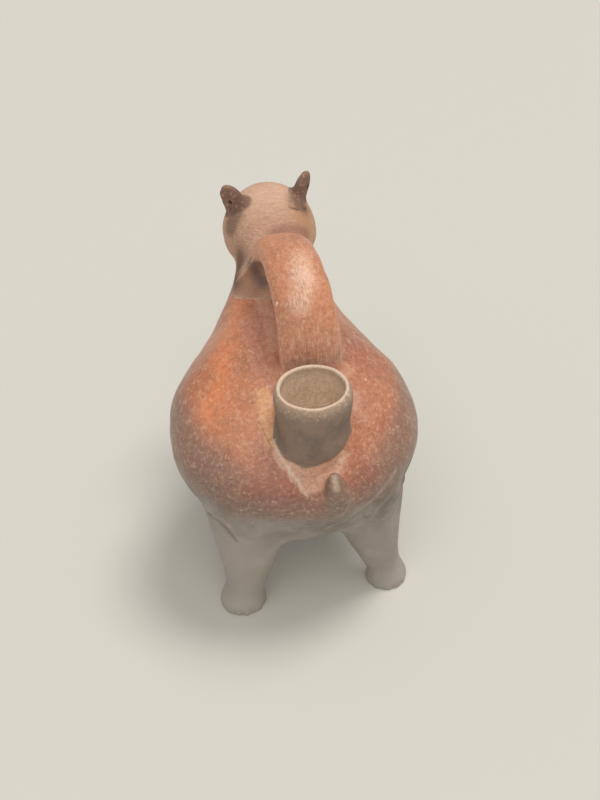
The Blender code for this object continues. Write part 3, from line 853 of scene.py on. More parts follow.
# Uneven, hand-built surface, then the ridges, grooves, chips and the patch
normals = outwardNormals(points)
uneven = sum(wavySum(points, wavelength, seed) * height for height, wavelength, seed in handwork["waves"])
points = points + normals * (uneven * smoothStep(*handwork["waveAbove"], points[:, 2]))[:, None]
rise = sum(lineShare(points, line) * skinLines[line][0] * 0.001 for line in skinLines)
patch = patchShare(points, handwork["patchEdge"]) * smoothStep(*handwork["patchFacing"], normals[:, 2])
rise = rise + patch * (1 - handleShare(points)) * handwork["patchRise"]
points = points + normals * rise[:, None]
print("ridges, grooves and patch laid on")


def roundedLip(places):
    # Moves the spout's wall to the nearest place on its section, which waves a little round the rim
    height, radius, away = spoutPlace(places)
    angle = np.arctan2(away @ np.cross(spoutAxis, (1.0, 0, 0)), away[:, 0])
    outward = np.sin(3 * angle + 1.0) + np.sin(5 * angle)
    upward = np.sin(2 * angle + 2.0) + 0.6 * np.sin(7 * angle)
    wave = spoutSize["wobble"] * np.stack([outward, upward], axis=1)
    place = np.stack([radius, height], axis=1)
    section = np.array(spoutSize["section"]) * 0.001
    move = nearestOnPath(place - wave, section) + wave - place
    move = move * smoothStep(*spoutSize["shapedAbove"], height)[:, None]
    middle, reach = spoutSize["wallReach"]
    near = (np.abs(radius - middle) < reach) & (height > spoutSize["shapedAbove"][0])
    return np.where(near[:, None], move[:, :1] * away + move[:, 1:] * spoutAxis, 0)


points = points + roundedLip(points)
print("lip rounded")

# Keep the skin inside the solid model's box
margin = 0.00001
points = np.clip(points, np.array(cadBox[0]) + margin, np.array(cadBox[1]) - margin)
mesh.vertices.foreach_set("co", points.ravel())
mesh.update()


# The hollow inside, the ears' piercings and the nostrils
def collarForm():
    # The spout's tube goes on a little way inside the body
    collar = spoutSize["collar"]
    return turnedForm(((collar, spoutSize["collarRise"]), (collar, -spoutSize["collarReach"])), 60)


bodyHollow = newObject("bodyHollow", *bodyForm(bodySize["wall"], 3, 40))
cutAway(bodyHollow, [newObject("collar", *collarForm())])
cutAway(vessel, [
    bodyHollow,
    newObject("headHollow", *headForm(headSize["wall"], 16, 24, ())),
    newObject("earHoleLeft", *earHoleForm("left")),
    newObject("earHoleRight", *earHoleForm("right")),
    newObject("nostrilLeft", *nostrilForm(1)),
    newObject("nostrilRight", *nostrilForm(-1)),
])
mesh = vessel.data
mesh.shade_smooth()
mesh.set_sharp_from_angle(angle=math.radians(handwork["sharpAngle"]))
triangles = sum(len(face.vertices) - 2 for face in mesh.polygons)
print("hollowed", len(mesh.vertices), "vertices", triangles, "triangles")


# Where each finish lies, kept on the vertices as shares from 0 to 1
points = rowsOf(mesh.vertices, "co", 3)
facing = rowsOf(mesh.vertex_normals, "vector", 3)
x, y, z = points.T


def lobeShare(side):
    # Inside a form a little larger than the ear's lobe, and fainter towards the tip
    root, tip, broad, thin, up = earAxes(side)
    away = points - (root + tip) / 2
    along = away @ up / (np.linalg.norm(tip - root) / 2)
    wide = away @ broad / (earSize[side]["width"] / 2)
    thick = away @ thin / (earSize["thickness"] * earSize["finishThickness"])
    distance = np.sqrt(wide ** 2 + along ** 2 + thick ** 2)
    fade = 1 - earSize["tipFade"] * smoothStep(*earSize["tipRange"], along)
    return (1 - smoothStep(*earSize["finishRange"], distance)) * fade


# Round the spout, from the animal's left (0 degrees) by the rear: height and reach of the grey clay
spoutFoot = {
    "bearing": (-180, -90, -10, 8, 27, 44, 56, 78, 98, 117, 134, 150, 180),
    "height": (-4.0, -2.0, -3.0, -4.1, -9.0, -11.0, -13.2, -12.2, -9.6, -7.6, -5.4, -4.0, -4.0),
    "reach": (20.6, 21.0, 22.0, 23.6, 23.2, 22.6, 22.0, 21.6, 21.4, 21.0, 20.6, 20.4, 20.6),
    "edge": (-0.0005, 0.0008),
    "upperReach": 0.0235,
    "upperFrom": 0.008,
}

# Finishes that lie along a path: half width and path in millimetres, and a strength if below 1
wornPaths = (
    ("ears", 7.2, ((-26.0, -59.5, 203.0), (-27.0, -59.7, 199.0), (-29.2, -60.1, 195.8))),
    ("underEar", 8, ((13.4, -60.2, 195.3), (17.9, -59.9, 188.0))),
    # neck: painted shade in the gap under the handle's nape
    ("neck", 5.4, ((9.7, -10.0, 186.6), (9.0, -22.0, 177.0), (6.5, -28.0, 169.0), (3.0, -24.0, 165.0))),
    ("neck", 8, ((0.0, -31.0, 172.0), (-8.0, -36.0, 170.0)), 0.9),
    # painted shade on the neck's left side, below the head
    ("neckSide", 8, ((15.0, -47.0, 172.0), (16.6, -44.9, 165.0), (18.6, -42.0, 160.0))),
    ("throat", 10, ((16, -38, 158), (10, -24, 160), (12, -46, 166))),
    ("besideHandle", 6.5, ((6.0, -13.0, 159.6), (4.6, 4.8, 157.1), (4.6, 19.3, 154.1), (5.2, 30.0, 151.0))),
    ("nape", 6.5, ((9, -28, 192), (-4, -37, 191), (-16, -44, 187), (-27, -48, 181))),
    ("cheek", 9, ((-29.0, -53.5, 188.2), (-27.6, -52.9, 195.6))),
    # painted light on the top of the head
    ("crown", 15, ((6.0, -64.0, 205.0), (-20.0, -66.0, 206.0))),
    ("buffWear", 6.0, ((18.2, 60.0, 140.5), (18.4, 71.0, 135.5), (18.4, 84.7, 126.6))),
    ("smear", 5.0, ((8.5, 99.0, 112.6), (3.0, 103.4, 106.6), (-4.0, 104.0, 106.6), (-9.0, 101.0, 111.5),
                    (-17.5, 98.5, 116.5))),
    ("smear", 4.2, ((15.5, 90.5, 121.5), (13.5, 95.0, 117.0), (6.0, 98.6, 113.6), (-2.7, 99.6, 113.0),
                    (-11.7, 98.8, 114.6), (-17.9, 96.2, 117.0))),
    # pale streak on the handle's top: wear and a painted highlight
    ("worn", 9.5, ((-13.5, 18.8, 201.0), (-12.2, 27.4, 198.9), (-11.7, 37.7, 193.1), (-8.0, 46.5, 187.0))),
    ("deepRed", 8, ((34.3, 100.6, 103.8), (18.8, 105.8, 101.4), (8.3, 107.7, 99.3))),
    ("deepRed", 7, ((-24.0, 104.5, 101.5), (-33.0, 102.0, 103.0))),
    ("orange", 12, ((22.0, -20.0, 152.0), (30.0, 5.0, 147.5), (38.0, 30.0, 140.5), (46.0, 55.0, 130.0))),
    ("tail", 8.0, ((-10.4, 109.0, 115.5), (-10.8, 111.0, 108.0), (-11.2, 111.5, 94.0))),
    ("tailWear", 2.6, ((-10.6, 110.9, 114.6), (-10.8, 112.8, 112.6), (-10.9, 114.0, 109.0))),
    ("crumbs", 3.2, ((-21.0, 95.5, 119.5), (-15.5, 99.5, 114.5))),
    ("crumbs", 1.9, ((12.4, 96.3, 116.3), (9.0, 101.0, 110.5), (4.2, 106.4, 102.0))),
    ("webWear", 1.2, ((8.8, -3.3, 196.4), (10.6, -5.7, 191.6), (11.8, -14.3, 184.1), (13.8, -29.1, 172.6),
                      (15.6, -35.1, 166.4), (18.5, -40.1, 159.6))),
    ("notchWear", 1.3, ((-57.0, 78.8, 76.5), (-56.2, 79.4, 73.5), (-55.0, 81.0, 70.5))),
    ("underWeb", 3.2, ((10.3, -10.0, 187.5), (11.2, -18.0, 183.0), (13.0, -28.0, 175.0))),
)
# Finishes that lie on the skin's lines: line, share of its width and strength
wornLines = {
    "ridgeWear": (("spoutSmear", 1.1, 1),),
    "thighWear": (("leftThigh", 1.15, 1),),
    "ringWear": (("rightRing", 1.2, 1), ("rightThigh", 1.2, 0.8), ("tailRing", 1.2, 0.8),
                 ("smearFold", 1, 0.5)),
    "grooveShade": (("underLeftThigh", 0.8, 1), ("earCrack", 0.8, 1), ("earPit", 0.8, 1),
                    ("tailLeftGroove", 0.8, 1), ("tailRightGroove", 0.8, 1)),
    "chip": (("handleChip", 1, 1),),
}
# Ranges over which a finish comes in or goes out, in metres
finishRanges = {
    "napeBack": (-0.018, -0.023),
    "napeTop": (0.182, 0.187),
    "underHandle": (0.030, 0.0),
    "facingDown": (0.10, -0.25),
    "collar": (0.1525, 0.1555),
    "headBack": (0.005, -0.008),
    "handleLow": (0.163, 0.182),
    "handleRear": (0.03, 0.04),
    "handleFoot": (0.1560, 0.1590),
    "handleRoot": (0.1490, 0.1515),
    "footRear": (0.04, 0.05),
    "grey": (0.0770, 0.1005),
    "umber": (0.088, 0.116),
    "legs": (0.050, 0.084),
    "feet": (0.004, 0.022),
    "litLegSide": (0.005, 0.040),
    "litLegTop": (0.078, 0.100),
    "flankShadeSide": (0.62, 1.02),
    "flankShadeHeight": (0.150, 0.095),
    "fleckSide": (-0.012, -0.035),
    "fleckHeight": (0.106, 0.140),
    "patchHeight": (0.125, 0.135),
    "tubeEdge": (-0.001, 0.0012),
    "tubeRear": (0.05, 0.056),
    "boreWall": (0.0190, 0.0196),
    "boreDepth": (-0.050, -0.035),
    "boreTop": (0.0292, 0.0300),
    "lip": (0.0200, 0.0305),
    "crest": (0.0285, 0.0295),
}
# How the borders lean, and how strong and how wide some finishes are
finishSizes = {
    # the collar line between slip and bare clay: slope and place of its rear and its front part
    "collarRear": (0.33, -0.030),
    "collarFront": (0.12, -0.045),
    "collarFrontRise": 0.005,
    # slope of the belly's grey border on the left, on the right, and where the right one starts
    "bellySlopes": (0.07, 0.05, -0.02),
    "flankShadeByHeight": 0.9,
    "flankShadeLess": 0.35,
    "flecksOnLeft": 0.55,
    "flecksLessOnHandle": 0.5,
    "flecksLow": 0.1,
    "crestRadius": 0.0181,
    "crestWidth": 0.0012,
    "eyeWidth": 0.0044,
    "patchEdge": 0.001,
}


def within(name, value):
    return smoothStep(*finishRanges[name], value)


def pastIt(name, value):
    return 1 - within(name, value)


shares = {}
for name, width, path, *strength in wornPaths:
    shares[name] = np.maximum(shares.get(name, 0), pathShare(points, path, width, *strength))
for name, lines in wornLines.items():
    shares[name] = sum(strength * lineShare(points, line, wider) for line, wider, strength in lines)

# Spout: the tube's grey clay down to its foot line, its bore, lip and crest
height, radius, _ = spoutPlace(points)
bearing = np.degrees(np.arctan2(y - spoutBase[1], x - spoutBase[0]))
footLine = np.interp(bearing, spoutFoot["bearing"], spoutFoot["height"]) * 0.001
footReach = np.interp(bearing, spoutFoot["bearing"], spoutFoot["reach"]) * 0.001
footReach = np.maximum(footReach, spoutFoot["upperReach"] * (height > spoutFoot["upperFrom"]))
tube = 1 - smoothStep(*spoutFoot["edge"], radius - footReach)
tube = tube * within("tubeEdge", height - footLine)
narrowing = spoutSize["taper"] / (spoutSize["rise"] + spoutSize["root"])
boreWall = radius + narrowing * (spoutSize["rise"] - height)
boreWall = pastIt("boreWall", boreWall) * within("boreDepth", height)
tube = np.maximum(tube, boreWall) * within("tubeRear", y)

# Handle down to its joints, and the bare head above the collar line
handle = handleShare(points)
underNape = within("napeBack", y) * pastIt("napeTop", z)
underNape = np.maximum(underNape, within("underHandle", y) * within("facingDown", facing[:, 2]))
handle = handle * (1 - underNape) * (1 - shares.pop("underWeb"))
(rearSlope, rearPlace), (frontSlope, frontPlace) = finishSizes["collarRear"], finishSizes["collarFront"]
frontLine = z - frontSlope * (y - frontPlace) + finishSizes["collarFrontRise"]
collarLine = np.where(y < frontPlace, frontLine, z - rearSlope * (y - rearPlace))
buffHead = within("collar", collarLine) * within("headBack", y) * (1 - handle)
leftSlope, rightSlope, rightPlace = finishSizes["bellySlopes"]
bellyLine = z - leftSlope * np.maximum(x, 0) + rightSlope * np.minimum(x - rightPlace, 0)
side = np.abs(x - frameShift["aside"]) / (bodySize["width"] / 2)
# Painted shade: darker towards the outer flanks and towards the bottom of the body
flankShade = side + finishSizes["flankShadeByHeight"] * within("flankShadeHeight", z) - finishSizes["flankShadeLess"]
flecks = finishSizes["flecksLow"] + (1 - finishSizes["flecksLow"]) * within("fleckHeight", bellyLine)
flecks = flecks * np.maximum(within("fleckSide", x), finishSizes["flecksOnLeft"])
# Painted highlight: a thin bright line along the crest of the spout's rim
crest = np.exp(-((radius - finishSizes["crestRadius"]) / finishSizes["crestWidth"]) ** 2)

for name in ("neckSide", "throat", "nape"):
    shares[name] = shares[name] * buffHead
for name in ("neck", "besideHandle"):
    shares[name] = shares[name] * (1 - handle)
shares.update({
    "handle": handle,
    "handleLow": handle * pastIt("handleLow", z) * within("handleRear", y),
    "handleFoot": handle * pastIt("handleFoot", z) * within("handleRoot", z) * within("footRear", y),
    "worn": shares["worn"] * handle,
    "head": buffHead,
    "ears": np.maximum(np.maximum(lobeShare("left"), lobeShare("right")), shares["ears"]),
    # eyes: darker clay of the eye pellets, with painted shade round them
    "eyes": sum(np.exp(-(distance / finishSizes["eyeWidth"]) ** 2) for distance in eyeDistances(points)),
    "grey": pastIt("grey", bellyLine),
    "legs": pastIt("legs", z),
    # umber: darker slip low on the body, partly its own tone and partly painted shade under the belly
    "umber": pastIt("umber", bellyLine),
    "flankShade": within("flankShadeSide", flankShade),
    "tube": tube,
    "lip": tube * within("lip", height),
    "crest": crest * within("crest", height) * tube,
    "bore": boreWall * pastIt("boreTop", height) * tube,
    "patch": patchShare(points, finishSizes["patchEdge"]) * within("patchHeight", z) * (1 - handle),
    "flecks": flecks * (1 - finishSizes["flecksLessOnHandle"] * handle),
    "feet": pastIt("feet", z),
    "litLeg": within("litLegSide", x) * pastIt("litLegTop", z),
})
for name, share in shares.items():
    layer = mesh.attributes.new(name, "FLOAT", "POINT")
    layer.data.foreach_set("value", np.clip(share, 0, 1).astype(np.float32))
print("finishes placed", len(shares))


# Material: burnished red slip, bare buff and grey clay, all on Object coordinates
clayColours = {
    "red": (0.49, 0.178, 0.102),
    "orange": (0.62, 0.250, 0.135),
    "shoulder": (0.90, 0.290, 0.105),
    "handle": (0.76, 0.310, 0.160),
    "brown": (0.32, 0.145, 0.092),
    # painted shade colour for the outer flanks and the low body
    "flankShade": (0.27, 0.178, 0.142),
    "umber": (0.225, 0.152, 0.122),
    "deep": (0.34, 0.100, 0.062),
    "pale": (0.92, 0.62, 0.44),
    "dark": (0.18, 0.080, 0.050),
    "patch": (0.66, 0.280, 0.185),
    "buff": (0.84, 0.44, 0.22),
    "head": (0.54, 0.310, 0.210),
    "headPale": (0.82, 0.530, 0.370),
    "ear": (0.175, 0.092, 0.062),
    "nape": (0.36, 0.165, 0.108),
    "throat": (0.50, 0.255, 0.162),
    "besideHandle": (0.78, 0.440, 0.310),
    # dark brown: painted shade under the handle's nape, and dark grain on the head
    "neck": (0.195, 0.130, 0.118),
    "cheek": (0.62, 0.320, 0.150),
    "smear": (0.75, 0.430, 0.280),
    "tube": (0.30, 0.210, 0.160),
    "tubeDark": (0.215, 0.160, 0.124),
    "lip": (0.52, 0.360, 0.255),
    # bore colours: the clay's buff lightened past its own tone, painted light inside the spout
    "bore": (1.0, 0.82, 0.62),
    "boreDark": (0.85, 0.64, 0.46),
    "bellyGrey": (0.205, 0.165, 0.135),
    "grey": (0.35, 0.305, 0.262),
    "greyPale": (0.48, 0.44, 0.385),
    "chip": (0.88, 0.67, 0.50),
    "shade": (0.06, 0.038, 0.028),
}
finishes = {
    "slipGloss": 0.35,
    "strokeGloss": 0.30,
    "headGloss": 0.72,
    "tubeGloss": 0.66,
    "greyGloss": 0.58,
    "bumpStrength": 0.8,
    "bumpDepth": 0.0006,
}

clay = bpy.data.materials.new("slippedAndBareClay")
clay.use_nodes = True
tree = clay.node_tree
tree.nodes.clear()


def addNode(kind, inputs, **settings):
    # Adds a node, its inputs linked where they are sockets and otherwise set on its own sockets
    made = tree.nodes.new(kind)
    made.location = (220 * (len(tree.nodes) // 12), -190 * (len(tree.nodes) % 12))
    for name, value in settings.items():
        setattr(made, name, value)
    for name, value in inputs.items():
        if isinstance(value, bpy.types.NodeSocket):
            tree.links.new(value, made.inputs[name])
        else:
            made.inputs[name].default_value = value
    return made


def worked(way, first, second=0.5, third=0.5):
    return addNode("ShaderNodeMath", {0: first, 1: second, 2: third}, operation=way).outputs[0]


def times(first, second):
    return worked("MULTIPLY", first, second)


def timesPlus(first, second, third):
    # first * second + third
    return worked("MULTIPLY_ADD", first, second, third)


def vectorWorked(way, first, second, output="Vector"):
    slot = "Scale" if way == "SCALE" else 1
    return addNode("ShaderNodeVectorMath", {0: first, slot: second}, operation=way).outputs[output]


def between(value, low, high, start=0.0, end=1.0):
    # Smooth step from start at low to end at high
    inputs = {"Value": value, "From Min": low, "From Max": high, "To Min": start, "To Max": end}
    return addNode("ShaderNodeMapRange", inputs, interpolation_type="SMOOTHSTEP").outputs[0]


def colourOf(what):
    return (*clayColours[what], 1) if isinstance(what, str) else what


def blended(share, first, second):
    inputs = {0: share, 6: colourOf(first), 7: colourOf(second)}
    return addNode("ShaderNodeMix", inputs, data_type="RGBA").outputs[2]


def kept(name):
    return addNode("ShaderNodeAttribute", {}, attribute_name=name, attribute_type="GEOMETRY").outputs["Fac"]


objectPlace = addNode("ShaderNodeTexCoord", {}).outputs["Object"]
centred = addNode("ShaderNodeMapping", {"Vector": objectPlace, "Location": (0, 0, -0.1)}).outputs[0]


def turnedPlace(stretch, turn=(0, 0, 0), slide=(0, 0, 0)):
    inputs = {"Vector": centred, "Scale": stretch, "Rotation": turn, "Location": slide}
    return addNode("ShaderNodeMapping", inputs).outputs[0]


def mottle(scale, detail, roughness, place=centred):
    inputs = {"Vector": place, "Scale": scale, "Detail": detail, "Roughness": roughness}
    return addNode("ShaderNodeTexNoise", inputs).outputs["Fac"]


def specks(scale, size, amount, place):
    # Round spots in the chosen share of a Voronoi pattern's cells
    cells = addNode("ShaderNodeTexVoronoi", {"Vector": place, "Scale": scale})
    pick = addNode("ShaderNodeSeparateColor", {0: cells.outputs["Color"]}).outputs[0]
    spot = between(cells.outputs["Distance"], size * 0.5, size, 1.0, 0.0)
    return times(spot, between(pick, 1 - amount - 0.02, 1 - amount + 0.02))


def ragged(name, mottleScale, low, high, strength):
    # A kept share's soft border broken up by noise
    rough = times(worked("SUBTRACT", mottle(mottleScale, 5.0, 0.65), 0.5), strength)
    return between(worked("ADD", kept(name), rough), low, high)


def shareOf(what):
    # A kept share by its name, one made ragged by its name and numbers, or a socket as it is
    if isinstance(what, str):
        return kept(what)
    return ragged(*what) if isinstance(what, tuple) else what


def layered(base, layers):
    # Lays each colour in turn over what is there, by its share times its amount
    for share, amount, colour in layers:
        base = blended(times(shareOf(share), amount), base, colour)
    return base


# A straight thin mark: full within the width of the line from start to end
markGroup = bpy.data.node_groups.new("thinMark", "ShaderNodeTree")
for name, kind in (("Place", "Vector"), ("Start", "Vector"), ("End", "Vector"), ("Width", "Float")):
    markGroup.interface.new_socket(name, in_out="INPUT", socket_type="NodeSocket" + kind)
markGroup.interface.new_socket("Share", in_out="OUTPUT", socket_type="NodeSocketFloat")
outerTree, tree = tree, markGroup
given = addNode("NodeGroupInput", {}).outputs
run = vectorWorked("SUBTRACT", given["End"], given["Start"])
away = vectorWorked("SUBTRACT", given["Place"], given["Start"])
along = vectorWorked("DOT_PRODUCT", away, run, "Value")
full = vectorWorked("DOT_PRODUCT", run, run, "Value")
part = addNode("ShaderNodeMath", {0: along, 1: full}, operation="DIVIDE", use_clamp=True).outputs[0]
gap = vectorWorked("DISTANCE", away, vectorWorked("SCALE", run, part), "Value")
markShare = between(gap, times(given["Width"], 0.45), given["Width"], 1.0, 0.0)
addNode("NodeGroupOutput", {"Share": markShare})
tree = outerTree

# Thin marks: half width in millimetres and path
thinMarks = {
    "pale": (
        (0.45, ((53.1, 17.5, 135.0), (45.1, 21.1, 140.8))),
        (0.45, ((20.8, 14.3, 152.0), (19.4, 17.8, 151.6))),
        (0.45, ((20.9, 26.5, 149.7), (18.9, 30.5, 149.4))),
        (0.40, ((32.0, 4.7, 146.8), (32.3, 8.4, 146.2))),
        (0.50, ((21.3, -32.6, 153.1), (18.7, -27.1, 155.0), (9.0, -14.2, 159.0))),
        (0.45, ((21.7, -6.6, 151.2), (12.1, 5.0, 155.6))),
        (0.32, ((21.3, -32.6, 153.1), (21.7, -6.6, 151.2), (26.1, 25.5, 148.6))),
        (0.45, ((-0.5, 54.6, 159.8), (-6.0, 55.6, 159.2), (-13.0, 55.8, 158.6))),
        (0.40, ((-2.5, 55.3, 157.6), (-11.0, 56.4, 157.2))),
        (0.45, ((-3.2, 53.9, 166.0), (-5.2, 54.6, 163.0))),
        (0.40, ((-9.5, 53.4, 168.5), (-10.4, 54.4, 164.2))),
    ),
    "dark": (
        (0.55, skinLines["earCrack"][2]),
        (0.34, skinLines["flankCrack"][2]),
    ),
}


def marksShare(kind):
    # The strongest of the marks of one kind, whose lines wander a little
    noise = addNode("ShaderNodeTexNoise", {"Vector": centred, "Scale": 240.0, "Detail": 1.0})
    wander = vectorWorked("SUBTRACT", noise.outputs["Color"], (0.5, 0.5, 0.5))
    place = vectorWorked("ADD", objectPlace, vectorWorked("SCALE", wander, 0.0014))
    total = 0.0
    for width, path in thinMarks[kind]:
        path = (np.array(path) * 0.001).tolist()
        for start, end in zip(path, path[1:]):
            inputs = {"Place": place, "Start": start, "End": end, "Width": width * 0.001}
            made = addNode("ShaderNodeGroup", inputs, node_tree=markGroup)
            total = worked("MAXIMUM", made.outputs["Share"], total)
    return total


# Patterns: strokes and scratches are noise drawn out in one direction
strokes = mottle(1.0, 4.0, 0.6, turnedPlace((520, 90, 520), (0.05, 0, 0.10)))
crossStrokes = mottle(1.0, 4.0, 0.6, turnedPlace((330, 560, 170), (0.4, 0.2, 0.5), (3, 1, 2)))
dashes = mottle(1.0, 3.0, 0.65, turnedPlace((560, 360, 240), (0.5, 0.25, 0.2), (5, 2, 8)))
smudges = mottle(1.0, 3.0, 0.6, turnedPlace((150, 120, 90), (0.3, 0.1, 0.4), (1, 4, 2)))
scratches = mottle(1.0, 4.0, 0.65, turnedPlace((980, 420, 150), (0.12, 0.0, 0.0)))
streaks = mottle(1.0, 5.0, 0.65, turnedPlace((150, 260, 1100), (0.05, 0.08, 0.0)))
wipes = mottle(1.0, 5.0, 0.70, turnedPlace((260, 520, 1500), (0.20, 0.10, 0.0)))
scrapes = mottle(1.0, 5.0, 0.7, turnedPlace((420, 420, 260), (0.6, 0.2, 0.1)))
fine = mottle(780, 4.0, 0.7)
grain = mottle(430, 5.0, 0.75)
clouds = mottle(20, 5.0, 0.55)
blotches = mottle(75, 6.0, 0.6)
crumbShare = specks(190, 0.26, 0.05, turnedPlace((1, 1, 0.7), (0.1, 0.4, 0.2), (0.02, 0.07, 0.03)))
pitShare = specks(300, 0.20, 0.07, turnedPlace((1, 1, 1), (0.3, 0.2, 0.1), (0.05, 0.02, 0.01)))

# Slip: two reds in clouds, burnishing strokes, grain, and flecks where the slip wore away; painted shade
# towards the outer flanks and, mixed with the slip's darker tone, low on the body; a painted highlight mixed
# with wear on the handle
fleckGate = between(mottle(60, 4.0, 0.65), 0.44, 0.64)
paleShare = times(between(dashes, 0.60, 0.72), times(fleckGate, kept("flecks")))
scratched = times(between(scratches, 0.50, 0.70), timesPlus(kept("handleLow"), 0.6, 0.4))
wipedOn = between(scratches, 0.36, 0.62, 0.25, 1.0)
# Pale streak on the handle's top: partly wear, partly a painted highlight
wearAndHighlightShare = times(ragged("worn", 420, 0.35, 1.05, 1.2), times(wipedOn, 0.72))
slip = layered(blended(between(clouds, 0.36, 0.62), "red", "orange"), (
    ("orange", 0.70, "shoulder"),
    ("handle", 0.60, "handle"),
    # painted shade on the outer flanks and low on the body
    ("flankShade", 0.78, "flankShade"),
    (between(blotches, 0.46, 0.72), 0.45, "brown"),
    ("deepRed", 0.75, "deep"),
    # umber: the slip's darker tone low on the body, partly painted shade under the belly
    (("umber", 90, 0.15, 0.95, 0.6), 0.80, "umber"),
    (("patch", 260, 0.42, 0.58, 0.4), 0.65, "patch"),
    ("handleLow", 0.20, "besideHandle"),
    (("besideHandle", 200, 0.25, 0.85, 0.5), 0.70, "besideHandle"),
    (("buffWear", 160, 0.35, 0.85, 0.9), 0.80, "buff"),
    (("smear", 150, 0.30, 0.70, 0.7), 0.85, "smear"),
    (("handleFoot", 240, 0.30, 0.75, 1.0), 0.35, "tube"),
    (("tail", 140, 0.20, 0.90, 0.5), 0.80, "bellyGrey"),
    (between(strokes, 0.52, 0.74), 0.35, "pale"),
    (between(crossStrokes, 0.48, 0.28), 0.26, "dark"),
    (between(grain, 0.50, 0.72), timesPlus(kept("umber"), -0.34, 0.46), "pale"),
    (between(grain, 0.50, 0.30), 0.30, "dark"),
    (between(fine, 0.52, 0.34), 0.24, "dark"),
    (paleShare, timesPlus(kept("umber"), -0.52, 0.70), "pale"),
    (between(smudges, 0.54, 0.74), times(kept("flecks"), 0.34), "pale"),
    (times(crumbShare, kept("flecks")), timesPlus(kept("umber"), -0.40, 0.62), "pale"),
    (pitShare, 0.28, "dark"),
    (times(scratched, kept("handle")), 0.62, "pale"),
    (times(between(streaks, 0.48, 0.72), kept("umber")), 0.24, "pale"),
    (wearAndHighlightShare, 1.0, "pale"),
))

# Head, neck and ears: bare buff clay wiped crosswise, with painted light on the crown and painted shade on
# the neck's left side
earColour = blended(between(grain, 0.50, 0.70, 0.0, 0.7), "ear", "head")
head = layered(blended(between(wipes, 0.36, 0.68, 0.02, 0.86), "head", "headPale"), (
    # painted light on the top of the head
    ("crown", 0.60, "headPale"),
    (between(blotches, 0.50, 0.72), 0.24, "throat"),
    (("throat", 150, 0.20, 0.90, 0.5), 0.70, "throat"),
    ("cheek", 0.75, "cheek"),
    (("nape", 160, 0.15, 0.90, 0.5), 0.72, "nape"),
    (("underEar", 130, 0.20, 0.90, 0.5), 0.72, "ear"),
    # painted shade on the neck's left side
    ("neckSide", 0.95, "ear"),
    # eyes: darker eye clay and painted shade round each pellet
    ("eyes", 0.45, "ear"),
    (("ears", 150, 0.08, 0.95, 0.45), 0.88, earColour),
    (between(grain, 0.52, 0.74), 0.35, "headPale"),
    (between(fine, 0.48, 0.30), 0.40, "neck"),
))

# Spout: grey-brown wall, a pale lip with a painted highlight along its crest, and a mottled bore whose
# colours are lightened as painted light inside the tube
litBoreColour = layered(blended(between(scrapes, 0.34, 0.66), "boreDark", "bore"), (
    (between(fine, 0.50, 0.34), 0.35, "tube"),
))
wall = layered(blended(between(blotches, 0.40, 0.66), "tube", "tubeDark"), (
    (between(grain, 0.54, 0.74), 0.30, "head"),
    (between(strokes, 0.54, 0.76), 0.30, "head"),
    # painted light: the bore is lightened
    ("bore", 1.0, litBoreColour),
    (("lip", 460, 0.10, 1.20, 0.8), 0.85, "lip"),
    (times(between(grain, 0.50, 0.66), kept("lip")), 0.65, "chip"),
    # painted highlight along the rim's crest
    (("crest", 360, 0.15, 0.75, 0.9), 0.95, "chip"),
))

# Legs and belly: greyish clay, dusty at the feet
grey = layered(blended(kept("legs"), "bellyGrey", "grey"), (
    (between(mottle(60, 5.0, 0.6), 0.40, 0.70), 0.45, "greyPale"),
    (between(grain, 0.52, 0.74), 0.30, "greyPale"),
    (between(streaks, 0.50, 0.74), 0.30, "greyPale"),
    (between(fine, 0.50, 0.32), 0.25, "tubeDark"),
    ("feet", 0.45, "greyPale"),
    ("litLeg", 0.40, "greyPale"),
))

# The finishes put together, and what lies over all of them
greyShare = ragged("grey", 70, 0.10, 0.95, 0.45)
headShare = ragged("head", 170, 0.42, 0.58, 0.35)
tubeShare = ragged("tube", 260, 0.20, 0.90, 0.50)
crumbled = times(kept("crumbs"), between(mottle(520, 3.0, 0.6), 0.50, 0.60))
paleMarks = marksShare("pale")
darkMarks = marksShare("dark")
colour = layered(slip, (
    (greyShare, 1.0, grey),
    (headShare, 1.0, head),
    (tubeShare, 1.0, wall),
    # painted shade in the gap under the handle's nape
    ("neck", 0.88, "neck"),
    (("webWear", 300, 0.30, 0.90, 0.6), 0.70, "headPale"),
    (("ridgeWear", 420, 0.35, 0.95, 1.1), 0.55, "chip"),
    (("thighWear", 300, 0.30, 0.95, 0.7), 0.50, "smear"),
    (("notchWear", 300, 0.30, 1.00, 0.8), 0.65, "smear"),
    (crumbled, 0.75, "chip"),
    (("ringWear", 170, 0.25, 1.10, 0.7), 0.36, "greyPale"),
    (("tailWear", 420, 0.15, 1.15, 0.9), 0.50, "chip"),
    ("grooveShade", 0.55, "shade"),
    (("chip", 300, 0.45, 0.60, 0.4), 1.0, "chip"),
    (paleMarks, 0.75, "chip"),
    (darkMarks, 0.28, "shade"),
))

# Gloss: slip shines most where it was burnished, bare clay is dull
gloss = timesPlus(strokes, finishes["strokeGloss"], finishes["slipGloss"] - finishes["strokeGloss"] / 2)
gloss = timesPlus(paleShare, 0.2, gloss)
for share, name in ((greyShare, "greyGloss"), (headShare, "headGloss"), (tubeShare, "tubeGloss")):
    gloss = timesPlus(share, worked("SUBTRACT", finishes[name], gloss), gloss)
gloss = timesPlus(worked("SUBTRACT", fine, 0.5), 0.18, gloss)

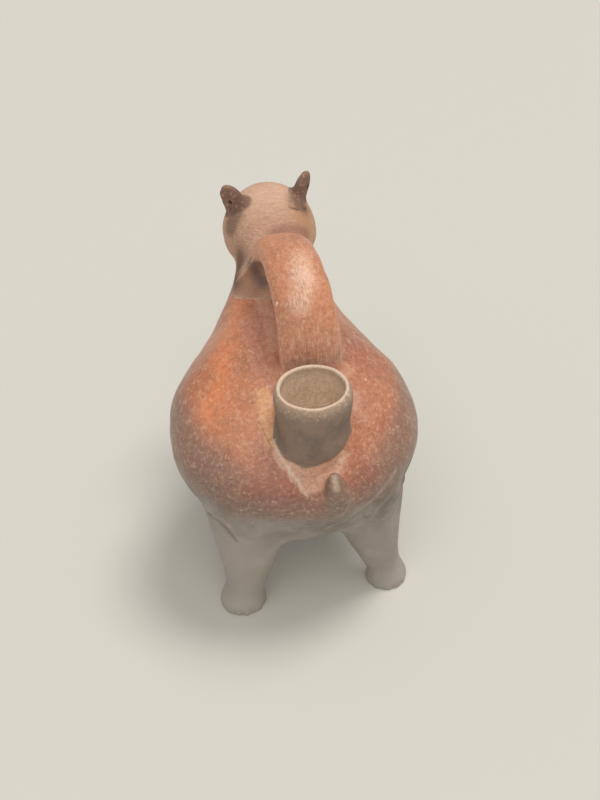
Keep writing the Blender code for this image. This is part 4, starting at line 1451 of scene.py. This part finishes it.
# Relief: strokes, grain, flecks and pits, coarser on bare clay
rough = timesPlus(grain, 0.60, times(wipes, 0.60))
edged = worked("MAXIMUM", kept("bore"), kept("lip"))
bare = worked("MAXIMUM", headShare, times(tubeShare, timesPlus(edged, 1.1, 0.5)))
relief = times(strokes, 0.30)
for pattern, rise in ((crossStrokes, 0.22), (grain, 0.34), (fine, 0.16), (paleShare, 0.10), (pitShare, -0.35),
                      (bare, rough), (darkMarks, -0.5), (paleMarks, -0.25)):
    relief = timesPlus(pattern, rise, relief)
inputs = {"Height": relief, "Strength": finishes["bumpStrength"], "Distance": finishes["bumpDepth"]}
bump = addNode("ShaderNodeBump", inputs)

inputs = {"Base Color": colour, "Roughness": gloss, "Normal": bump.outputs[0]}
shader = addNode("ShaderNodeBsdfPrincipled", inputs)
addNode("ShaderNodeOutputMaterial", {"Surface": shader.outputs[0]})
mesh.materials.clear()
mesh.materials.append(clay)
print("clay finished", len(tree.nodes), "nodes")

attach(vessel, "root")
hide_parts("vessel")

# Floor, soft studio light and camera
studio = {
    "floorSize": 24.0,
    "floorColour": (0.72, 0.705, 0.645, 1),
    "floorRoughness": 0.8,
    "worldColour": (1.0, 0.985, 0.96, 1),
    "worldStrength": 0.38,
    # direction the light comes from, strength, spread in degrees, colour
    "overheadLight": ((-0.33, -0.06, 0.94), 1.30, 24, (1.0, 0.97, 0.92)),
    "rearLight": ((0.12, 0.60, 0.79), 0.85, 50, (1.0, 0.975, 0.94)),
}
half = studio["floorSize"] / 2
floorCorners = np.array(((-half, -half, 0), (half, -half, 0), (half, half, 0), (-half, half, 0.0)))
floor = newObject("floor", floorCorners, [(0, 1, 2, 3)])
floorPaint = bpy.data.materials.new("paleFloor")
floorPaint.use_nodes = True
floorShader = floorPaint.node_tree.nodes["Principled BSDF"]
floorShader.inputs["Base Color"].default_value = studio["floorColour"]
floorShader.inputs["Roughness"].default_value = studio["floorRoughness"]
floor.data.materials.append(floorPaint)

studioWorld = bpy.data.worlds.new("softStudio")
bpy.context.scene.world = studioWorld
studioWorld.use_nodes = True
background = studioWorld.node_tree.nodes["Background"]
background.inputs["Color"].default_value = studio["worldColour"]
background.inputs["Strength"].default_value = studio["worldStrength"]


def distantLight(name):
    # A sun lamp turned so that its light comes from the direction set for it
    way, strength, spread, colour = studio[name]
    light = bpy.data.lights.new(name, "SUN")
    light.energy = strength
    light.angle = math.radians(spread)
    light.color = colour
    lamp = bpy.data.objects.new(name, light)
    bpy.context.scene.collection.objects.link(lamp)
    way = unit(np.array(way, float))
    lamp.rotation_euler = (math.acos(way[2]), 0, math.atan2(way[0], -way[1]))


distantLight("overheadLight")
distantLight("rearLight")

cameraSet = {
    "place": (0.06421, 0.53219, 0.46),
    "turn": (55.493, 3.135, 169.847),
    "lens": 46.22,
    "sensor": 36,
}
view = bpy.data.cameras.new("photoView")
view.lens = cameraSet["lens"]
view.sensor_width = cameraSet["sensor"]
view.sensor_fit = "AUTO"
camera = bpy.data.objects.new("photoView", view)
bpy.context.scene.collection.objects.link(camera)
camera.location = cameraSet["place"]
camera.rotation_euler = [math.radians(angle) for angle in cameraSet["turn"]]
bpy.context.scene.camera = camera
bpy.context.scene.view_settings.view_transform = "Standard"
